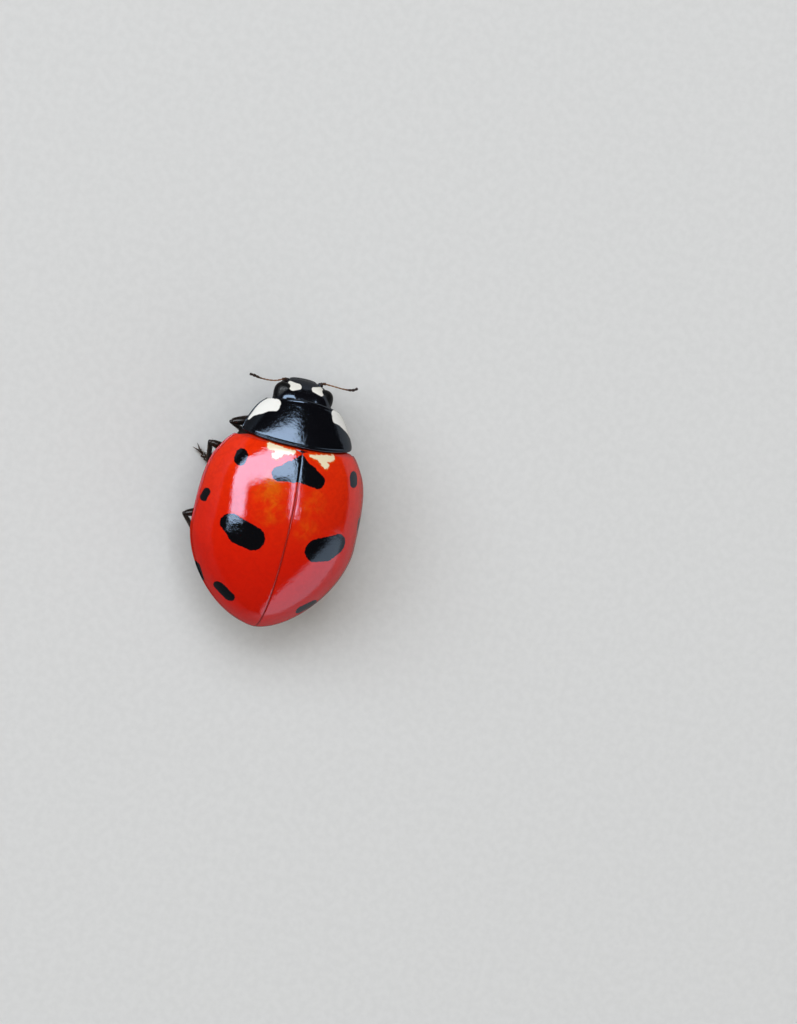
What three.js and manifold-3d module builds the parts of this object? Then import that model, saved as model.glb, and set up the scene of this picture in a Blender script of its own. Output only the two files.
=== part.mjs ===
// A ladybird of the slender eleven-spotted kind, standing with its legs half drawn in.
// Lengths are in millimetres, +Z is up, the head points to -Y and the animal's left is +X.
// While it is built, y = 0 is the front middle of the wing cases and z = 0 is the floor.
// At the end the whole group moves so that its box stands centred on the origin.
import * as THREE from 'three';
import { mergeVertices } from 'three/addons/utils/BufferGeometryUtils.js';
import Module from 'manifold-3d';

const wasm = await Module();
wasm.setup();

// driving dimensions
const gap = 0.024; // the thin cut between two pieces
const sliver = 0.004; // edges shorter than this are closed up after a cut
const marginHeight = 1.1; // the wing cases' edge above the floor
const shellWall = 0.45; // thickness of a wing case

const shell = {
  halfWidth: 1.855,
  widestY: 2.1,
  frontLength: 2.3,
  rearLength: 2.03,
  frontPower: 3.45,
  rearPower: 1.69,
  shoulderWidth: 1.44, // half width across the front middle
  shoulderSlope: 0.565,
  shoulderTurn: 0.2, // how the front edge turns back at the shoulder, from shoulderFrom outwards
  shoulderFrom: 1.12,
  shoulderReach: 0.32,
  height: 1.386,
  peakY: 1.693,
  frontRadius: 2.343,
  rearRadius: 2.44,
  crossPower: 2.1,
  lip: 0.05,
  rim: 0.07,
};

const belly = { depth: 0.31, crossPower: 2.6, fullUntilY: 2.2, frontInset: 0.36, rearInset: 0.16 };
const trunkCuts = { mesothorax: [0.02, 0.56], metathorax: [0.56, 1.5], abdomen: [1.5, 4.2] };
const scutellum = { half: 0.17, frontY: -0.1, cornerY: 0.05, rearY: 0.27, bottom: 1.75, height: 0.6 };
const baseSag = 0.065; // how far the wing cases' front edge curves forward beside the middle
const baseHalfWidth = 1.25;

const shield = {
  frontY: -0.997,
  rearY: -gap,
  frontHalfWidth: 0.93,
  rearHalfWidth: 1.253,
  frontTop: 1.627,
  rearTop: 2.08,
  frontEdge: 1.116,
  rearEdge: 1.3,
  frontSag: 0.193,
  edgeThickness: 0.12,
};

const prothorax = { frontY: -0.66, halfWidth: 0.95, frontShare: 0.62, z: 1.2, halfHeight: 0.46 };
const head = { x: 0.6, y: 0.45, z: 0.42, droop: 0.22, centre: new THREE.Vector3(0, -0.88, 1) };
const labrum = { x: 0.36, y: 0.19, z: 0.17, droop: 0, centre: new THREE.Vector3(0, -1.2, 0.84) };
const eye = { x: 0.19, y: 0.22, z: 0.22, centre: new THREE.Vector3(0.48, -1.04, 1.08) };
const palp = { from: new THREE.Vector3(0.3, -1.02, 0.68), to: new THREE.Vector3(0.32, -1.16, 0.6), radius: 0.18 };

const limbRadius = { coxa: 0.24, femur: 0.23, tibia: 0.205, tarsus: 0.2 };
const antennaRadius = 0.215;
const clubRadius = 0.24;
const clubStart = 0.72; // share of the antenna's length

const colours = {
  shell: new THREE.MeshStandardMaterial({ color: 0xd5280a, roughness: 0.18, metalness: 0 }),
  black: new THREE.MeshStandardMaterial({ color: 0x0c0a0b, roughness: 0.25, metalness: 0 }),
  belly: new THREE.MeshStandardMaterial({ color: 0x15110f, roughness: 0.4, metalness: 0 }),
  leg: new THREE.MeshStandardMaterial({ color: 0x17110e, roughness: 0.35, metalness: 0 }),
  feeler: new THREE.MeshStandardMaterial({ color: 0x6b4526, roughness: 0.45, metalness: 0 }),
  eye: new THREE.MeshStandardMaterial({ color: 0x08080a, roughness: 0.15, metalness: 0 }),
};

// ---- solids ----

// A geometry as a solid: only positions are kept and shared corners are merged.
function solid(geometry, tolerance = 1e-5) {
  const bare = new THREE.BufferGeometry();
  bare.setAttribute('position', geometry.getAttribute('position').clone());
  if (geometry.index) bare.setIndex(geometry.index.clone());
  const merged = mergeVertices(bare, tolerance);
  const corners = merged.index.array;
  const faces = [];
  for (let i = 0; i < corners.length; i += 3) {
    const [a, b, c] = corners.slice(i, i + 3);
    if (a !== b && b !== c && c !== a) faces.push(a, b, c);
  }
  return new wasm.Manifold(new wasm.Mesh({
    numProp: 3,
    vertProperties: new Float32Array(merged.getAttribute('position').array),
    triVerts: new Uint32Array(faces),
  }));
}

function geometryOf(piece) {
  const mesh = piece.getMesh();
  const geometry = new THREE.BufferGeometry();
  geometry.setAttribute('position', new THREE.BufferAttribute(new Float32Array(mesh.vertProperties), 3));
  geometry.setIndex(new THREE.BufferAttribute(new Uint32Array(mesh.triVerts), 1));
  return geometry;
}

// The slivers that a cut leaves are closed up, and corners that all but touch become one.
function cleaned(piece) {
  const simpler = piece.asOriginal().simplify(sliver);
  return solid(geometryOf(simpler), sliver / 2).simplify(sliver);
}

// A closed body through rings of points, which all have the same count.
function loft(rings) {
  const count = rings[0].length;
  const points = rings.flat();
  const faces = [];
  for (let i = 0; i + 1 < rings.length; i += 1) {
    for (let j = 0; j < count; j += 1) {
      const a = i * count + j;
      const b = i * count + ((j + 1) % count);
      faces.push(a, b, a + count, b, b + count, a + count);
    }
  }
  const cap = (ring, start, flip) => {
    const middle = ring.reduce((sum, p) => sum.add(p), new THREE.Vector3()).divideScalar(count);
    const centre = points.push(middle) - 1;
    for (let j = 0; j < count; j += 1) {
      const a = start + j;
      const b = start + ((j + 1) % count);
      faces.push(...(flip ? [centre, b, a] : [centre, a, b]));
    }
  };
  cap(rings[0], 0, true);
  cap(rings.at(-1), (rings.length - 1) * count, false);
  const geometry = new THREE.BufferGeometry().setFromPoints(points);
  geometry.setIndex(faces);
  return solid(geometry);
}

function ellipsoid(size, centre, grow = 0) {
  const geometry = new THREE.SphereGeometry(1, 12, 8);
  geometry.scale(size.x + grow, size.y + grow, size.z + grow);
  geometry.translate(centre.x, centre.y, centre.z);
  return solid(geometry);
}

// A rounded block with squarish cross sections, its front end drooping like an insect's face.
function rounded(block, grow = 0) {
  const around = 16;
  const steps = 7;
  const squareness = 0.8;
  const soft = (v) => Math.sign(v) * Math.abs(v) ** squareness;
  const rings = [];
  for (let k = 0; k <= steps; k += 1) {
    const lean = THREE.MathUtils.lerp(0.47, -0.47, k / steps) * Math.PI;
    const girth = Math.cos(lean) ** squareness;
    const y = block.centre.y + (block.y + grow) * Math.sin(lean);
    const drop = block.droop * Math.max(-Math.sin(lean), 0) ** 1.5;
    rings.push(Array.from({ length: around }, (_, i) => {
      const turn = (i / around) * Math.PI * 2;
      const x = (block.x + grow) * girth * soft(Math.cos(turn));
      const z = block.centre.z - drop + (block.z + grow) * girth * soft(Math.sin(turn));
      return new THREE.Vector3(x, y, z);
    }));
  }
  return loft(rings);
}

// A limb piece from one joint to the next: round ends, and a girth that follows the given shares.
function limb(from, to, radius, shares, grow = 0) {
  const length = from.distanceTo(to);
  const startRadius = radius * shares[0] + grow;
  const endRadius = radius * shares.at(-1) + grow;
  const profile = [new THREE.Vector2(0, -startRadius)];
  for (const angle of [-60, -30]) {
    const turn = THREE.MathUtils.degToRad(angle);
    profile.push(new THREE.Vector2(startRadius * Math.cos(turn), startRadius * Math.sin(turn)));
  }
  shares.forEach((share, i) => {
    profile.push(new THREE.Vector2(radius * share + grow, (length * i) / (shares.length - 1)));
  });
  for (const angle of [30, 60]) {
    const turn = THREE.MathUtils.degToRad(angle);
    profile.push(new THREE.Vector2(endRadius * Math.cos(turn), length + endRadius * Math.sin(turn)));
  }
  profile.push(new THREE.Vector2(0, length + endRadius));
  const geometry = new THREE.LatheGeometry(profile, 10);
  const along = to.clone().sub(from).normalize();
  geometry.applyQuaternion(new THREE.Quaternion().setFromUnitVectors(new THREE.Vector3(0, 1, 0), along));
  geometry.translate(from.x, from.y, from.z);
  return solid(geometry);
}

const joined = (pieces) => pieces.reduce((sum, piece) => sum.add(piece));
const mirrored = (v, side) => new THREE.Vector3(v.x * side, v.y, v.z);

// ---- wing cases and trunk ----

// Half width of the dome at a place along the body, drawn in by the inset.
function domeHalfWidth(y, inset) {
  const ahead = y < shell.widestY;
  const reach = ahead ? shell.frontLength : shell.rearLength - inset;
  const power = ahead ? shell.frontPower : shell.rearPower;
  const share = Math.min(Math.abs(y - shell.widestY) / reach, 1);
  const oval = shell.halfWidth * (1 - share ** power) ** (1 / power);
  const shoulder = shell.shoulderWidth + shell.shoulderSlope * y;
  const width = THREE.MathUtils.lerp(shoulder, oval, THREE.MathUtils.smoothstep(y, 0.1, 0.5));
  return Math.max(width * (1 - inset / shell.halfWidth), 0);
}

function domeRise(y, inset) {
  const radius = y < shell.peakY ? shell.frontRadius : shell.rearRadius - inset;
  const share = Math.min(Math.abs(y - shell.peakY) / radius, 1);
  return (shell.height - inset) * Math.sqrt(1 - share ** 2);
}

// The front edge is a shallow arc that turns back round the shoulders and fades out along the body.
const baseArc = (x) => baseSag * (x / baseHalfWidth) ** 2;

function foreCurve(x, station) {
  const fade = THREE.MathUtils.clamp(1 - station, 0, 1) ** 2;
  const beyond = Math.max(Math.abs(x) - shell.shoulderFrom, 0) / shell.shoulderReach;
  return (shell.shoulderTurn * beyond ** 2 - baseArc(x)) * fade;
}

function domePoint(share, station, inset) {
  let y = station;
  let x = 0;
  for (let i = 0; i < 12; i += 1) {
    x = share * domeHalfWidth(y, inset);
    y = station + foreCurve(x, Math.max(station, 0));
  }
  return { x, y };
}

function stations(frontY, rearY, frontCount, rearCount) {
  const list = [];
  for (let i = 0; i < frontCount; i += 1) list.push(frontY + ((shell.widestY - frontY) * i) / frontCount);
  for (let i = 0; i <= rearCount; i += 1) {
    list.push(shell.widestY + (rearY - shell.widestY) * Math.sin((i / rearCount) * (Math.PI / 2)));
  }
  return list;
}

// The outer dome of both wing cases, with a narrow rim turned out along its edge.
function wingDome(grow = 0) {
  const across = 22;
  const rearEnd = shell.widestY + shell.rearLength;
  const rings = stations(0, rearEnd - 0.004, 9, 15).map((station) => {
    const ring = [];
    const rimHere = shell.rim * Math.min(domeHalfWidth(station, 0) / 1.2, 1);
    for (let i = 0; i <= across; i += 1) {
      const share = Math.sin((i / across - 0.5) * Math.PI);
      const { x, y } = domePoint(share, station, 0);
      const rise = domeRise(y, 0) * Math.sqrt(1 - Math.abs(share) ** shell.crossPower);
      const stretch = 1 - rimHere / Math.max(domeHalfWidth(y, 0), rimHere);
      ring.push(new THREE.Vector3(x * stretch + Math.sign(share) * grow, y, marginHeight + rise + grow));
    }
    const { x, y } = domePoint(1, station, 0);
    for (const side of [1, -1]) {
      const out = side * (x + grow);
      const top = new THREE.Vector3(out, y, marginHeight + grow);
      const under = new THREE.Vector3(out, y, marginHeight - shell.lip - grow);
      ring.push(...(side > 0 ? [top, under] : [under, top]));
    }
    return ring;
  });
  return loft(rings);
}

// One half of the trunk: the upper one lies under the wing cases, the lower one is the low convex
// belly below their edge.
function trunkHalf(side, inset, level, heightAt, rearEnd, frontY) {
  const across = 14;
  const rings = stations(frontY, rearEnd, 6, 9).map((station) => {
    const ring = [];
    for (let i = 0; i <= across; i += 1) {
      const share = Math.sin((i / across - 0.5) * Math.PI);
      const { x, y } = domePoint(share, station, inset(station));
      ring.push(new THREE.Vector3(x, y, level + heightAt(y, share)));
    }
    return side === 'lower' ? ring.reverse() : ring;
  });
  return loft(rings);
}

function trunkCore(grow = 0) {
  const inset = shellWall + gap - grow;
  const frontY = 2 * gap - grow;
  const underside = marginHeight - shell.lip;
  const rearEnd = shell.widestY + shell.rearLength;
  const wallHeight = shell.lip + 2 * gap;
  const upper = trunkHalf('upper', () => inset, marginHeight - wallHeight, (y, share) => {
    const arch = Math.sqrt(1 - Math.abs(share) ** shell.crossPower);
    return arch === 0 ? 0 : wallHeight + domeRise(y, inset) * arch;
  }, rearEnd - inset - 0.01, frontY);
  const tail = rearEnd - belly.rearInset;
  const lowerInset = (y) => THREE.MathUtils.mapLinear(y, 0, tail, belly.frontInset, belly.rearInset) - grow;
  const lower = trunkHalf('lower', lowerInset, underside - gap + grow, (y, share) => {
    const taper = THREE.MathUtils.smoothstep(y, belly.fullUntilY, tail + 0.4);
    const depth = belly.depth * (1 - 0.8 * taper) + 2 * grow;
    return -depth * Math.sqrt(1 - Math.abs(share) ** belly.crossPower);
  }, tail - 0.05, frontY);
  return upper.add(lower);
}

// ---- pronotum, head ----

function pronotumShield(grow = 0) {
  const across = 18;
  const steps = 9;
  const rings = [];
  for (let k = 0; k <= steps; k += 1) {
    const u = k / steps;
    const swell = 1 - (1 - u) ** 1.7;
    const corner = 1 - 0.06 * Math.exp(-u / 0.07) - 0.03 * Math.exp(-(1 - u) / 0.05);
    const width = THREE.MathUtils.lerp(shield.frontHalfWidth, shield.rearHalfWidth, swell) * corner + grow;
    const crown = 0.05 * Math.sin(u * Math.PI);
    const top = THREE.MathUtils.lerp(shield.frontTop, shield.rearTop, u) + crown + grow;
    const edge = THREE.MathUtils.lerp(shield.frontEdge, shield.rearEdge, u);
    const ring = [];
    for (let i = 0; i <= across; i += 1) {
      const share = Math.sin((i / across - 0.5) * Math.PI);
      const x = share * width;
      const front = shield.frontY - grow + shield.frontSag * (x / shield.frontHalfWidth) ** 2;
      const rear = shield.rearY + grow - baseArc(x);
      const rise = (top - edge) * Math.sqrt(Math.max(1 - Math.abs(share) ** shell.crossPower, 0));
      ring.push(new THREE.Vector3(x, THREE.MathUtils.lerp(front, rear, u), edge + rise));
    }
    for (const side of [1, -1]) {
      const end = side > 0 ? ring[across] : ring[0];
      ring.push(end.clone().setZ(edge - shield.edgeThickness - grow));
    }
    rings.push(ring);
  }
  return loft(rings);
}

// The neck ring under the pronotum that carries the front legs.
function prothoraxBody(grow = 0) {
  const around = 16;
  const { frontY, halfWidth, frontShare, halfHeight } = prothorax;
  const rings = [0, 0.12, 0.5, 1].map((u) => {
    const width = halfWidth * THREE.MathUtils.lerp(frontShare, 1, u ** 0.5) + grow;
    const height = (halfHeight + grow) * THREE.MathUtils.lerp(0.9, 1, u);
    const y = THREE.MathUtils.lerp(frontY - grow, -2 * gap + grow, u);
    return Array.from({ length: around }, (_, i) => {
      const turn = (i / around) * Math.PI * 2;
      const x = -width * Math.cos(turn);
      return new THREE.Vector3(x, y - baseArc(x), prothorax.z + height * Math.sin(turn));
    });
  });
  return loft(rings);
}

// ---- legs ----

// Joints of each leg: hip, knee, ankle and toe. The right legs are drawn in further.
const legs = {
  front_left: [[0.24, -0.4, 0.6], [0.5, -0.4, 0.58], [1.33, -0.16, 0.82], [0.72, 0.2, 0.24], [0.5, -0.18, 0.18]],
  mid_left: [[0.3, 0.7, 0.57], [0.58, 0.68, 0.56], [1.72, 0.42, 0.83], [1.48, 0.96, 0.24], [1.8, 0.68, 0.18]],
  hind_left: [[0.3, 1.62, 0.57], [0.62, 1.68, 0.56], [1.93, 2.06, 0.8], [1.24, 2.72, 0.24], [1.02, 3.14, 0.18]],
  front_right: [[-0.24, -0.4, 0.6], [-0.5, -0.42, 0.58], [-1.16, -0.2, 0.8], [-0.98, -0.6, 0.24], [-0.76, -0.92, 0.18]],
  mid_right: [[-0.3, 0.7, 0.57], [-0.58, 0.68, 0.56], [-1.6, 0.62, 0.8], [-1.46, 1.2, 0.24], [-1.5, 1.68, 0.18]],
  hind_right: [[-0.3, 1.62, 0.57], [-0.62, 1.68, 0.56], [-1.7, 2.1, 0.78], [-1.2, 2.76, 0.24], [-0.96, 3.18, 0.18]],
};

function makeLeg(joints, clear) {
  const [root, hip, knee, ankle, toe] = joints.map((p) => new THREE.Vector3(...p));
  const parts = [
    ['coxa', root, hip, [0.9, 1]],
    ['femur', hip, knee, [0.92, 1.08, 1.04, 0.92]],
    ['tibia', knee, ankle, [0.95, 1, 1.06]],
    ['tarsus', ankle, toe, [1, 1, 0.95]],
  ];
  const made = {};
  let before = clear;
  for (const [name, from, to, shares] of parts) {
    made[name] = limb(from, to, limbRadius[name], shares).subtract(before).trimByPlane([0, 0, 1], 0);
    before = before.add(limb(from, to, limbRadius[name], shares, gap));
  }
  return made;
}

// ---- assembly ----

const ladybird = new THREE.Group();

function add(name, piece, material, parent = ladybird) {
  const mesh = new THREE.Mesh(geometryOf(cleaned(piece)), material);
  mesh.name = name;
  parent.add(mesh);
  return mesh;
}

const core = trunkCore();
const coreSpace = trunkCore(gap);
const pronotum = pronotumShield();
const pronotumSpace = pronotumShield(gap);
const dome = wingDome().subtract(pronotumSpace);

// scutellum: a small triangle let into the front of the suture
function scutellumPlug(grow) {
  const { frontY, cornerY, rearY, bottom, height } = scutellum;
  const half = scutellum.half + grow;
  const outline = new THREE.Shape([
    new THREE.Vector2(-half, frontY), new THREE.Vector2(half, frontY),
    new THREE.Vector2(half, cornerY), new THREE.Vector2(0, rearY + 2 * grow), new THREE.Vector2(-half, cornerY),
  ]);
  const geometry = new THREE.ExtrudeGeometry(outline, { depth: height + 2 * grow, bevelEnabled: false });
  geometry.translate(0, 0, bottom - grow);
  return solid(geometry);
}
add('scutellum', dome.intersect(scutellumPlug(0)).subtract(coreSpace), colours.black);

const cases = dome.subtract(coreSpace).subtract(scutellumPlug(gap));
add('elytron_left', cases.trimByPlane([1, 0, 0], gap / 2), colours.shell);
add('elytron_right', cases.trimByPlane([-1, 0, 0], gap / 2), colours.shell);
add('pronotum', pronotum, colours.black);

for (const [name, [frontY, rearY]] of Object.entries(trunkCuts)) {
  const piece = core.trimByPlane([0, 1, 0], frontY + gap / 2);
  add(name, piece.trimByPlane([0, -1, 0], -rearY + gap / 2), colours.belly);
}

const headSpace = rounded(head, gap);
const labrumSpace = rounded(labrum, gap);
add('prothorax', prothoraxBody().subtract(pronotumSpace).subtract(headSpace), colours.belly);

// eyes, antennae and mouthparts sit in sockets cut from the head
const sides = { left: 1, right: -1 };
const eyeSpaces = [];
for (const [side, sign] of Object.entries(sides)) {
  const centre = mirrored(eye.centre, sign);
  add(`eye_${side}`, ellipsoid(eye, centre).subtract(pronotumSpace), colours.eye);
  eyeSpaces.push(ellipsoid(eye, centre, gap));
}
const eyeSpace = joined(eyeSpaces);
add('labrum', rounded(labrum), colours.black);
add('head', rounded(head).subtract(joined([pronotumSpace, eyeSpace, labrumSpace])), colours.black);

const antennae = {
  left: [[0.4, -1.24, 0.86], [0.74, -1.2, 0.92], [1.08, -1.25, 0.9]],
  right: [[-0.4, -1.28, 0.86], [-0.74, -1.36, 0.92], [-1.04, -1.37, 0.9]],
};
const faceSpace = joined([headSpace, eyeSpace, labrumSpace]);
for (const [side, joints] of Object.entries(antennae)) {
  const [base, bend, tip] = joints.map((p) => new THREE.Vector3(...p));
  const section = new THREE.Shape();
  section.absarc(0, 0, antennaRadius, 0, Math.PI * 2);
  const route = new THREE.QuadraticBezierCurve3(base, bend, tip);
  const stalk = new THREE.ExtrudeGeometry(section, { steps: 5, curveSegments: 5, extrudePath: route });
  const inner = route.getPoint(clubStart);
  const club = limb(inner, tip, clubRadius, [0.9, 1, 0.85]);
  add(`antenna_${side}`, solid(stalk).add(club).subtract(faceSpace).subtract(pronotumSpace), colours.feeler);
}

for (const [side, sign] of Object.entries(sides)) {
  const piece = limb(mirrored(palp.from, sign), mirrored(palp.to, sign), palp.radius, [0.9, 1.05]);
  add(`palp_${side}`, piece.subtract(faceSpace), colours.feeler);
}
const bodySpace = joined([
  wingDome(gap), coreSpace, pronotumSpace, prothoraxBody(gap), headSpace,
]);
for (const [name, joints] of Object.entries(legs)) {
  const hip = new THREE.Group();
  hip.position.set(...joints[0]);
  ladybird.add(hip);
  for (const [part, piece] of Object.entries(makeLeg(joints, bodySpace))) {
    const [x, y, z] = joints[0];
    add(`${name}_${part}`, piece.translate(-x, -y, -z), colours.leg, hip);
  }
}

ladybird.updateMatrixWorld(true);
const box = new THREE.Box3().setFromObject(ladybird);
const centre = box.getCenter(new THREE.Vector3());
ladybird.position.set(-centre.x, -centre.y, -box.min.z);

export default ladybird;
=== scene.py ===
import math
import random

import bmesh
import bpy
from mathutils import Matrix, Vector


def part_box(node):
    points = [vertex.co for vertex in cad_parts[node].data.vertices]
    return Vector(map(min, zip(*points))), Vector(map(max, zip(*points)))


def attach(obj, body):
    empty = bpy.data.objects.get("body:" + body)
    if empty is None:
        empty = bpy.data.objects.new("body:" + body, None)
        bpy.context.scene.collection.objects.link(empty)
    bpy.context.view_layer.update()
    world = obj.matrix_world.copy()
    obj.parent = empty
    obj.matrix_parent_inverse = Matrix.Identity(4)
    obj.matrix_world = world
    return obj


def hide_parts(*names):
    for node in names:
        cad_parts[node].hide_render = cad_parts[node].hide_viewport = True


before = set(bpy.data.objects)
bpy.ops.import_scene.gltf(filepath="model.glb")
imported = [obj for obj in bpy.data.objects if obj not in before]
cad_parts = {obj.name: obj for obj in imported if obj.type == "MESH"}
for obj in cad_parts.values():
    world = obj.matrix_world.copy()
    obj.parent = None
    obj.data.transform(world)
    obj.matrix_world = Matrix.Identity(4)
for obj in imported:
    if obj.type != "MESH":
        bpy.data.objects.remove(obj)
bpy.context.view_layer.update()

# Pieces are modelled in millimetres, with y = 0 at the front middle of the wing cases and the
# head towards -y. settle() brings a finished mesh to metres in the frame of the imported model.
millimetre = 0.001
tailY = 4.126
suture = (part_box("elytron_left")[0].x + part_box("elytron_right")[1].x) / 2
bodyOrigin = Vector((suture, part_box("elytron_left")[1].y - tailY * millimetre, 0))
sides = {"left": 1, "right": -1}
upright = Vector((0, 0, 1))

bpy.context.scene.view_settings.view_transform = "Standard"


def mix(a, b, t):
    return a + (b - a) * t


def ease(value, low, high):
    t = min(max((value - low) / (high - low), 0), 1)
    return t * t * (3 - 2 * t)


def clearSelection():
    if bpy.context.object and bpy.context.object.mode != "OBJECT":
        bpy.ops.object.mode_set(mode="OBJECT")
    bpy.ops.object.select_all(action="DESELECT")


def makeActive(piece):
    clearSelection()
    piece.select_set(True)
    bpy.context.view_layer.objects.active = piece


def named(name):
    piece = bpy.context.object
    piece.name = name
    piece.data.name = name
    bpy.ops.object.transform_apply(location=True, rotation=True, scale=True)
    return piece


def editMode():
    bpy.ops.object.mode_set(mode="EDIT")


def objectMode():
    bpy.ops.object.mode_set(mode="OBJECT")


def pick(piece, kind, wanted):
    # selects in edit mode the verts, edges or faces that pass the test
    bpy.ops.mesh.select_all(action="DESELECT")
    bpy.context.tool_settings.mesh_select_mode = (kind == "verts", kind == "edges", kind == "faces")
    mesh = bmesh.from_edit_mesh(piece.data)
    for item in getattr(mesh, kind):
        item.select_set(wanted(item))
    mesh.select_flush_mode()
    bmesh.update_edit_mesh(piece.data)


def nudge(piece, centre, move, reach, grab):
    # a soft pull on the surface near a point
    pick(piece, "verts", lambda v: (v.co - Vector(centre)).length < grab)
    bpy.ops.transform.translate(value=move, use_proportional_edit=True,
                                proportional_edit_falloff="SMOOTH", proportional_size=reach)


def applyModifier(piece, kind, **settings):
    makeActive(piece)
    modifier = piece.modifiers.new(kind.title(), kind)
    for key, value in settings.items():
        setattr(modifier, key, value)
    bpy.ops.object.modifier_apply(modifier=modifier.name)


def smooth(piece, angle=None):
    makeActive(piece)
    if angle is None:
        bpy.ops.object.shade_smooth()
    else:
        bpy.ops.object.shade_smooth_by_angle(angle=math.radians(angle))


def copyOf(piece, name):
    twin = piece.copy()
    twin.data = piece.data.copy()
    twin.name = name
    twin.data.name = name
    bpy.context.scene.collection.objects.link(twin)
    return twin


def flipped(piece, name):
    twin = copyOf(piece, name)
    twin.data.transform(Matrix.Scale(-1, 4, (1, 0, 0)))
    facesOut(twin)
    return twin


def facesOut(piece):
    makeActive(piece)
    editMode()
    bpy.ops.mesh.select_all(action="SELECT")
    bpy.ops.mesh.normals_make_consistent(inside=False)
    objectMode()


def joinPieces(pieces, name):
    clearSelection()
    for piece in pieces:
        piece.select_set(True)
    bpy.context.view_layer.objects.active = pieces[0]
    bpy.ops.object.join()
    return named(name)


def settle(piece, material, slotName, *nodes):
    piece.data.transform(Matrix.Translation(bodyOrigin) @ Matrix.Scale(millimetre, 4))
    piece.data.materials.append(material)
    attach(piece, "root")
    if nodes:
        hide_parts(*nodes)


# the dome that the wing cases follow, and the trunk under them
shell = {
    "halfWidth": 1.855, "widestY": 2.1, "frontLength": 2.3, "rearLength": 2.03,
    "frontPower": 3.45, "rearPower": 1.69,
    "shoulderWidth": 1.44, "shoulderSlope": 0.565, "shoulderBlend": (0.1, 0.5),
    "shoulderTurn": 0.2, "shoulderFrom": 1.12, "shoulderReach": 0.32,
    "height": 1.386, "peakY": 1.693, "frontRadius": 2.343, "rearRadius": 2.44,
    "marginHeight": 1.1, "rim": 0.07,
    "baseSag": 0.065, "baseHalfWidth": 1.25,
    "cornerRound": 0.1, "cornerRoundPower": 5, "cornerLift": 0.13,
    "rounds": 12,
}


def domeHalfWidth(y, inset=0):
    ahead = y < shell["widestY"]
    reach = shell["frontLength"] if ahead else shell["rearLength"] - inset
    power = shell["frontPower"] if ahead else shell["rearPower"]
    share = min(abs(y - shell["widestY"]) / reach, 1)
    oval = shell["halfWidth"] * (1 - share ** power) ** (1 / power)
    shoulder = shell["shoulderWidth"] + shell["shoulderSlope"] * y
    return mix(shoulder, oval, ease(y, *shell["shoulderBlend"])) * (1 - inset / shell["halfWidth"])


def domeRise(y):
    radius = shell["frontRadius"] if y < shell["peakY"] else shell["rearRadius"]
    share = min(abs(y - shell["peakY"]) / radius, 1)
    return shell["height"] * math.sqrt(1 - share ** 2)


def baseArc(x):
    return shell["baseSag"] * (x / shell["baseHalfWidth"]) ** 2


def foreCurve(x, station):
    # the front edge: a shallow arc that turns back round the shoulders
    fade = min(max(1 - station, 0), 1) ** 2
    beyond = max(abs(x) - shell["shoulderFrom"], 0) / shell["shoulderReach"]
    return (shell["shoulderTurn"] * beyond ** 2 - baseArc(x)) * fade


def rollDip(distance, radius):
    if distance >= radius:
        return 0
    return radius - math.sqrt(radius ** 2 - (radius - distance) ** 2)


def domePlace(share, station):
    # the front corner is rounded off; x and y depend on each other and settle in a few rounds
    x, y = 0, station
    corner = rollDip(station, shell["cornerRound"]) * abs(share) ** shell["cornerRoundPower"]
    for _ in range(shell["rounds"]):
        x = share * (domeHalfWidth(y) - corner)
        y = station + foreCurve(x, max(station, 0))
    return x, y


def arch(share, power=2.1):
    return math.sqrt(max(1 - abs(share) ** power, 0))


def onDome(x, y):
    # the point of the wing cases' surface above (x, y)
    half = max(domeHalfWidth(y) - shell["rim"], 0.01)
    return Vector((x, y, shell["marginHeight"] + domeRise(y) * arch(min(x / half, 1))))


def onRow(vert, row):
    return any((vert.co - point).length < 1e-4 for point, _ in row)


def gridForm(name, rows):
    # a grid whose rows of points are laid out by a formula, with the seam merged and both ends
    # filled; each point comes with a number for the rim attribute, which the paint reads
    across, along = len(rows[0]) - 1, len(rows) - 1
    clearSelection()
    bpy.ops.mesh.primitive_grid_add(x_subdivisions=across, y_subdivisions=along, size=2)
    piece = named(name)
    rim = piece.data.attributes.new("rim", "FLOAT", "POINT")
    for v in piece.data.vertices:
        i, j = round((v.co.x + 1) / 2 * across), round((v.co.y + 1) / 2 * along)
        point, edge = rows[j][i]
        v.co = point
        rim.data[v.index].value = edge
    makeActive(piece)
    editMode()
    bpy.ops.mesh.select_all(action="SELECT")
    bpy.ops.mesh.remove_doubles(threshold=1e-5)
    for row in (rows[0], rows[-1]):
        # one end at a time, or the fill would join the two
        pick(piece, "edges", lambda e: e.is_boundary and all(onRow(v, row) for v in e.verts))
        bpy.ops.mesh.fill(use_beauty=True)
    bpy.ops.mesh.select_all(action="SELECT")
    bpy.ops.mesh.normals_make_consistent(inside=False)
    objectMode()
    return piece


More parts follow.
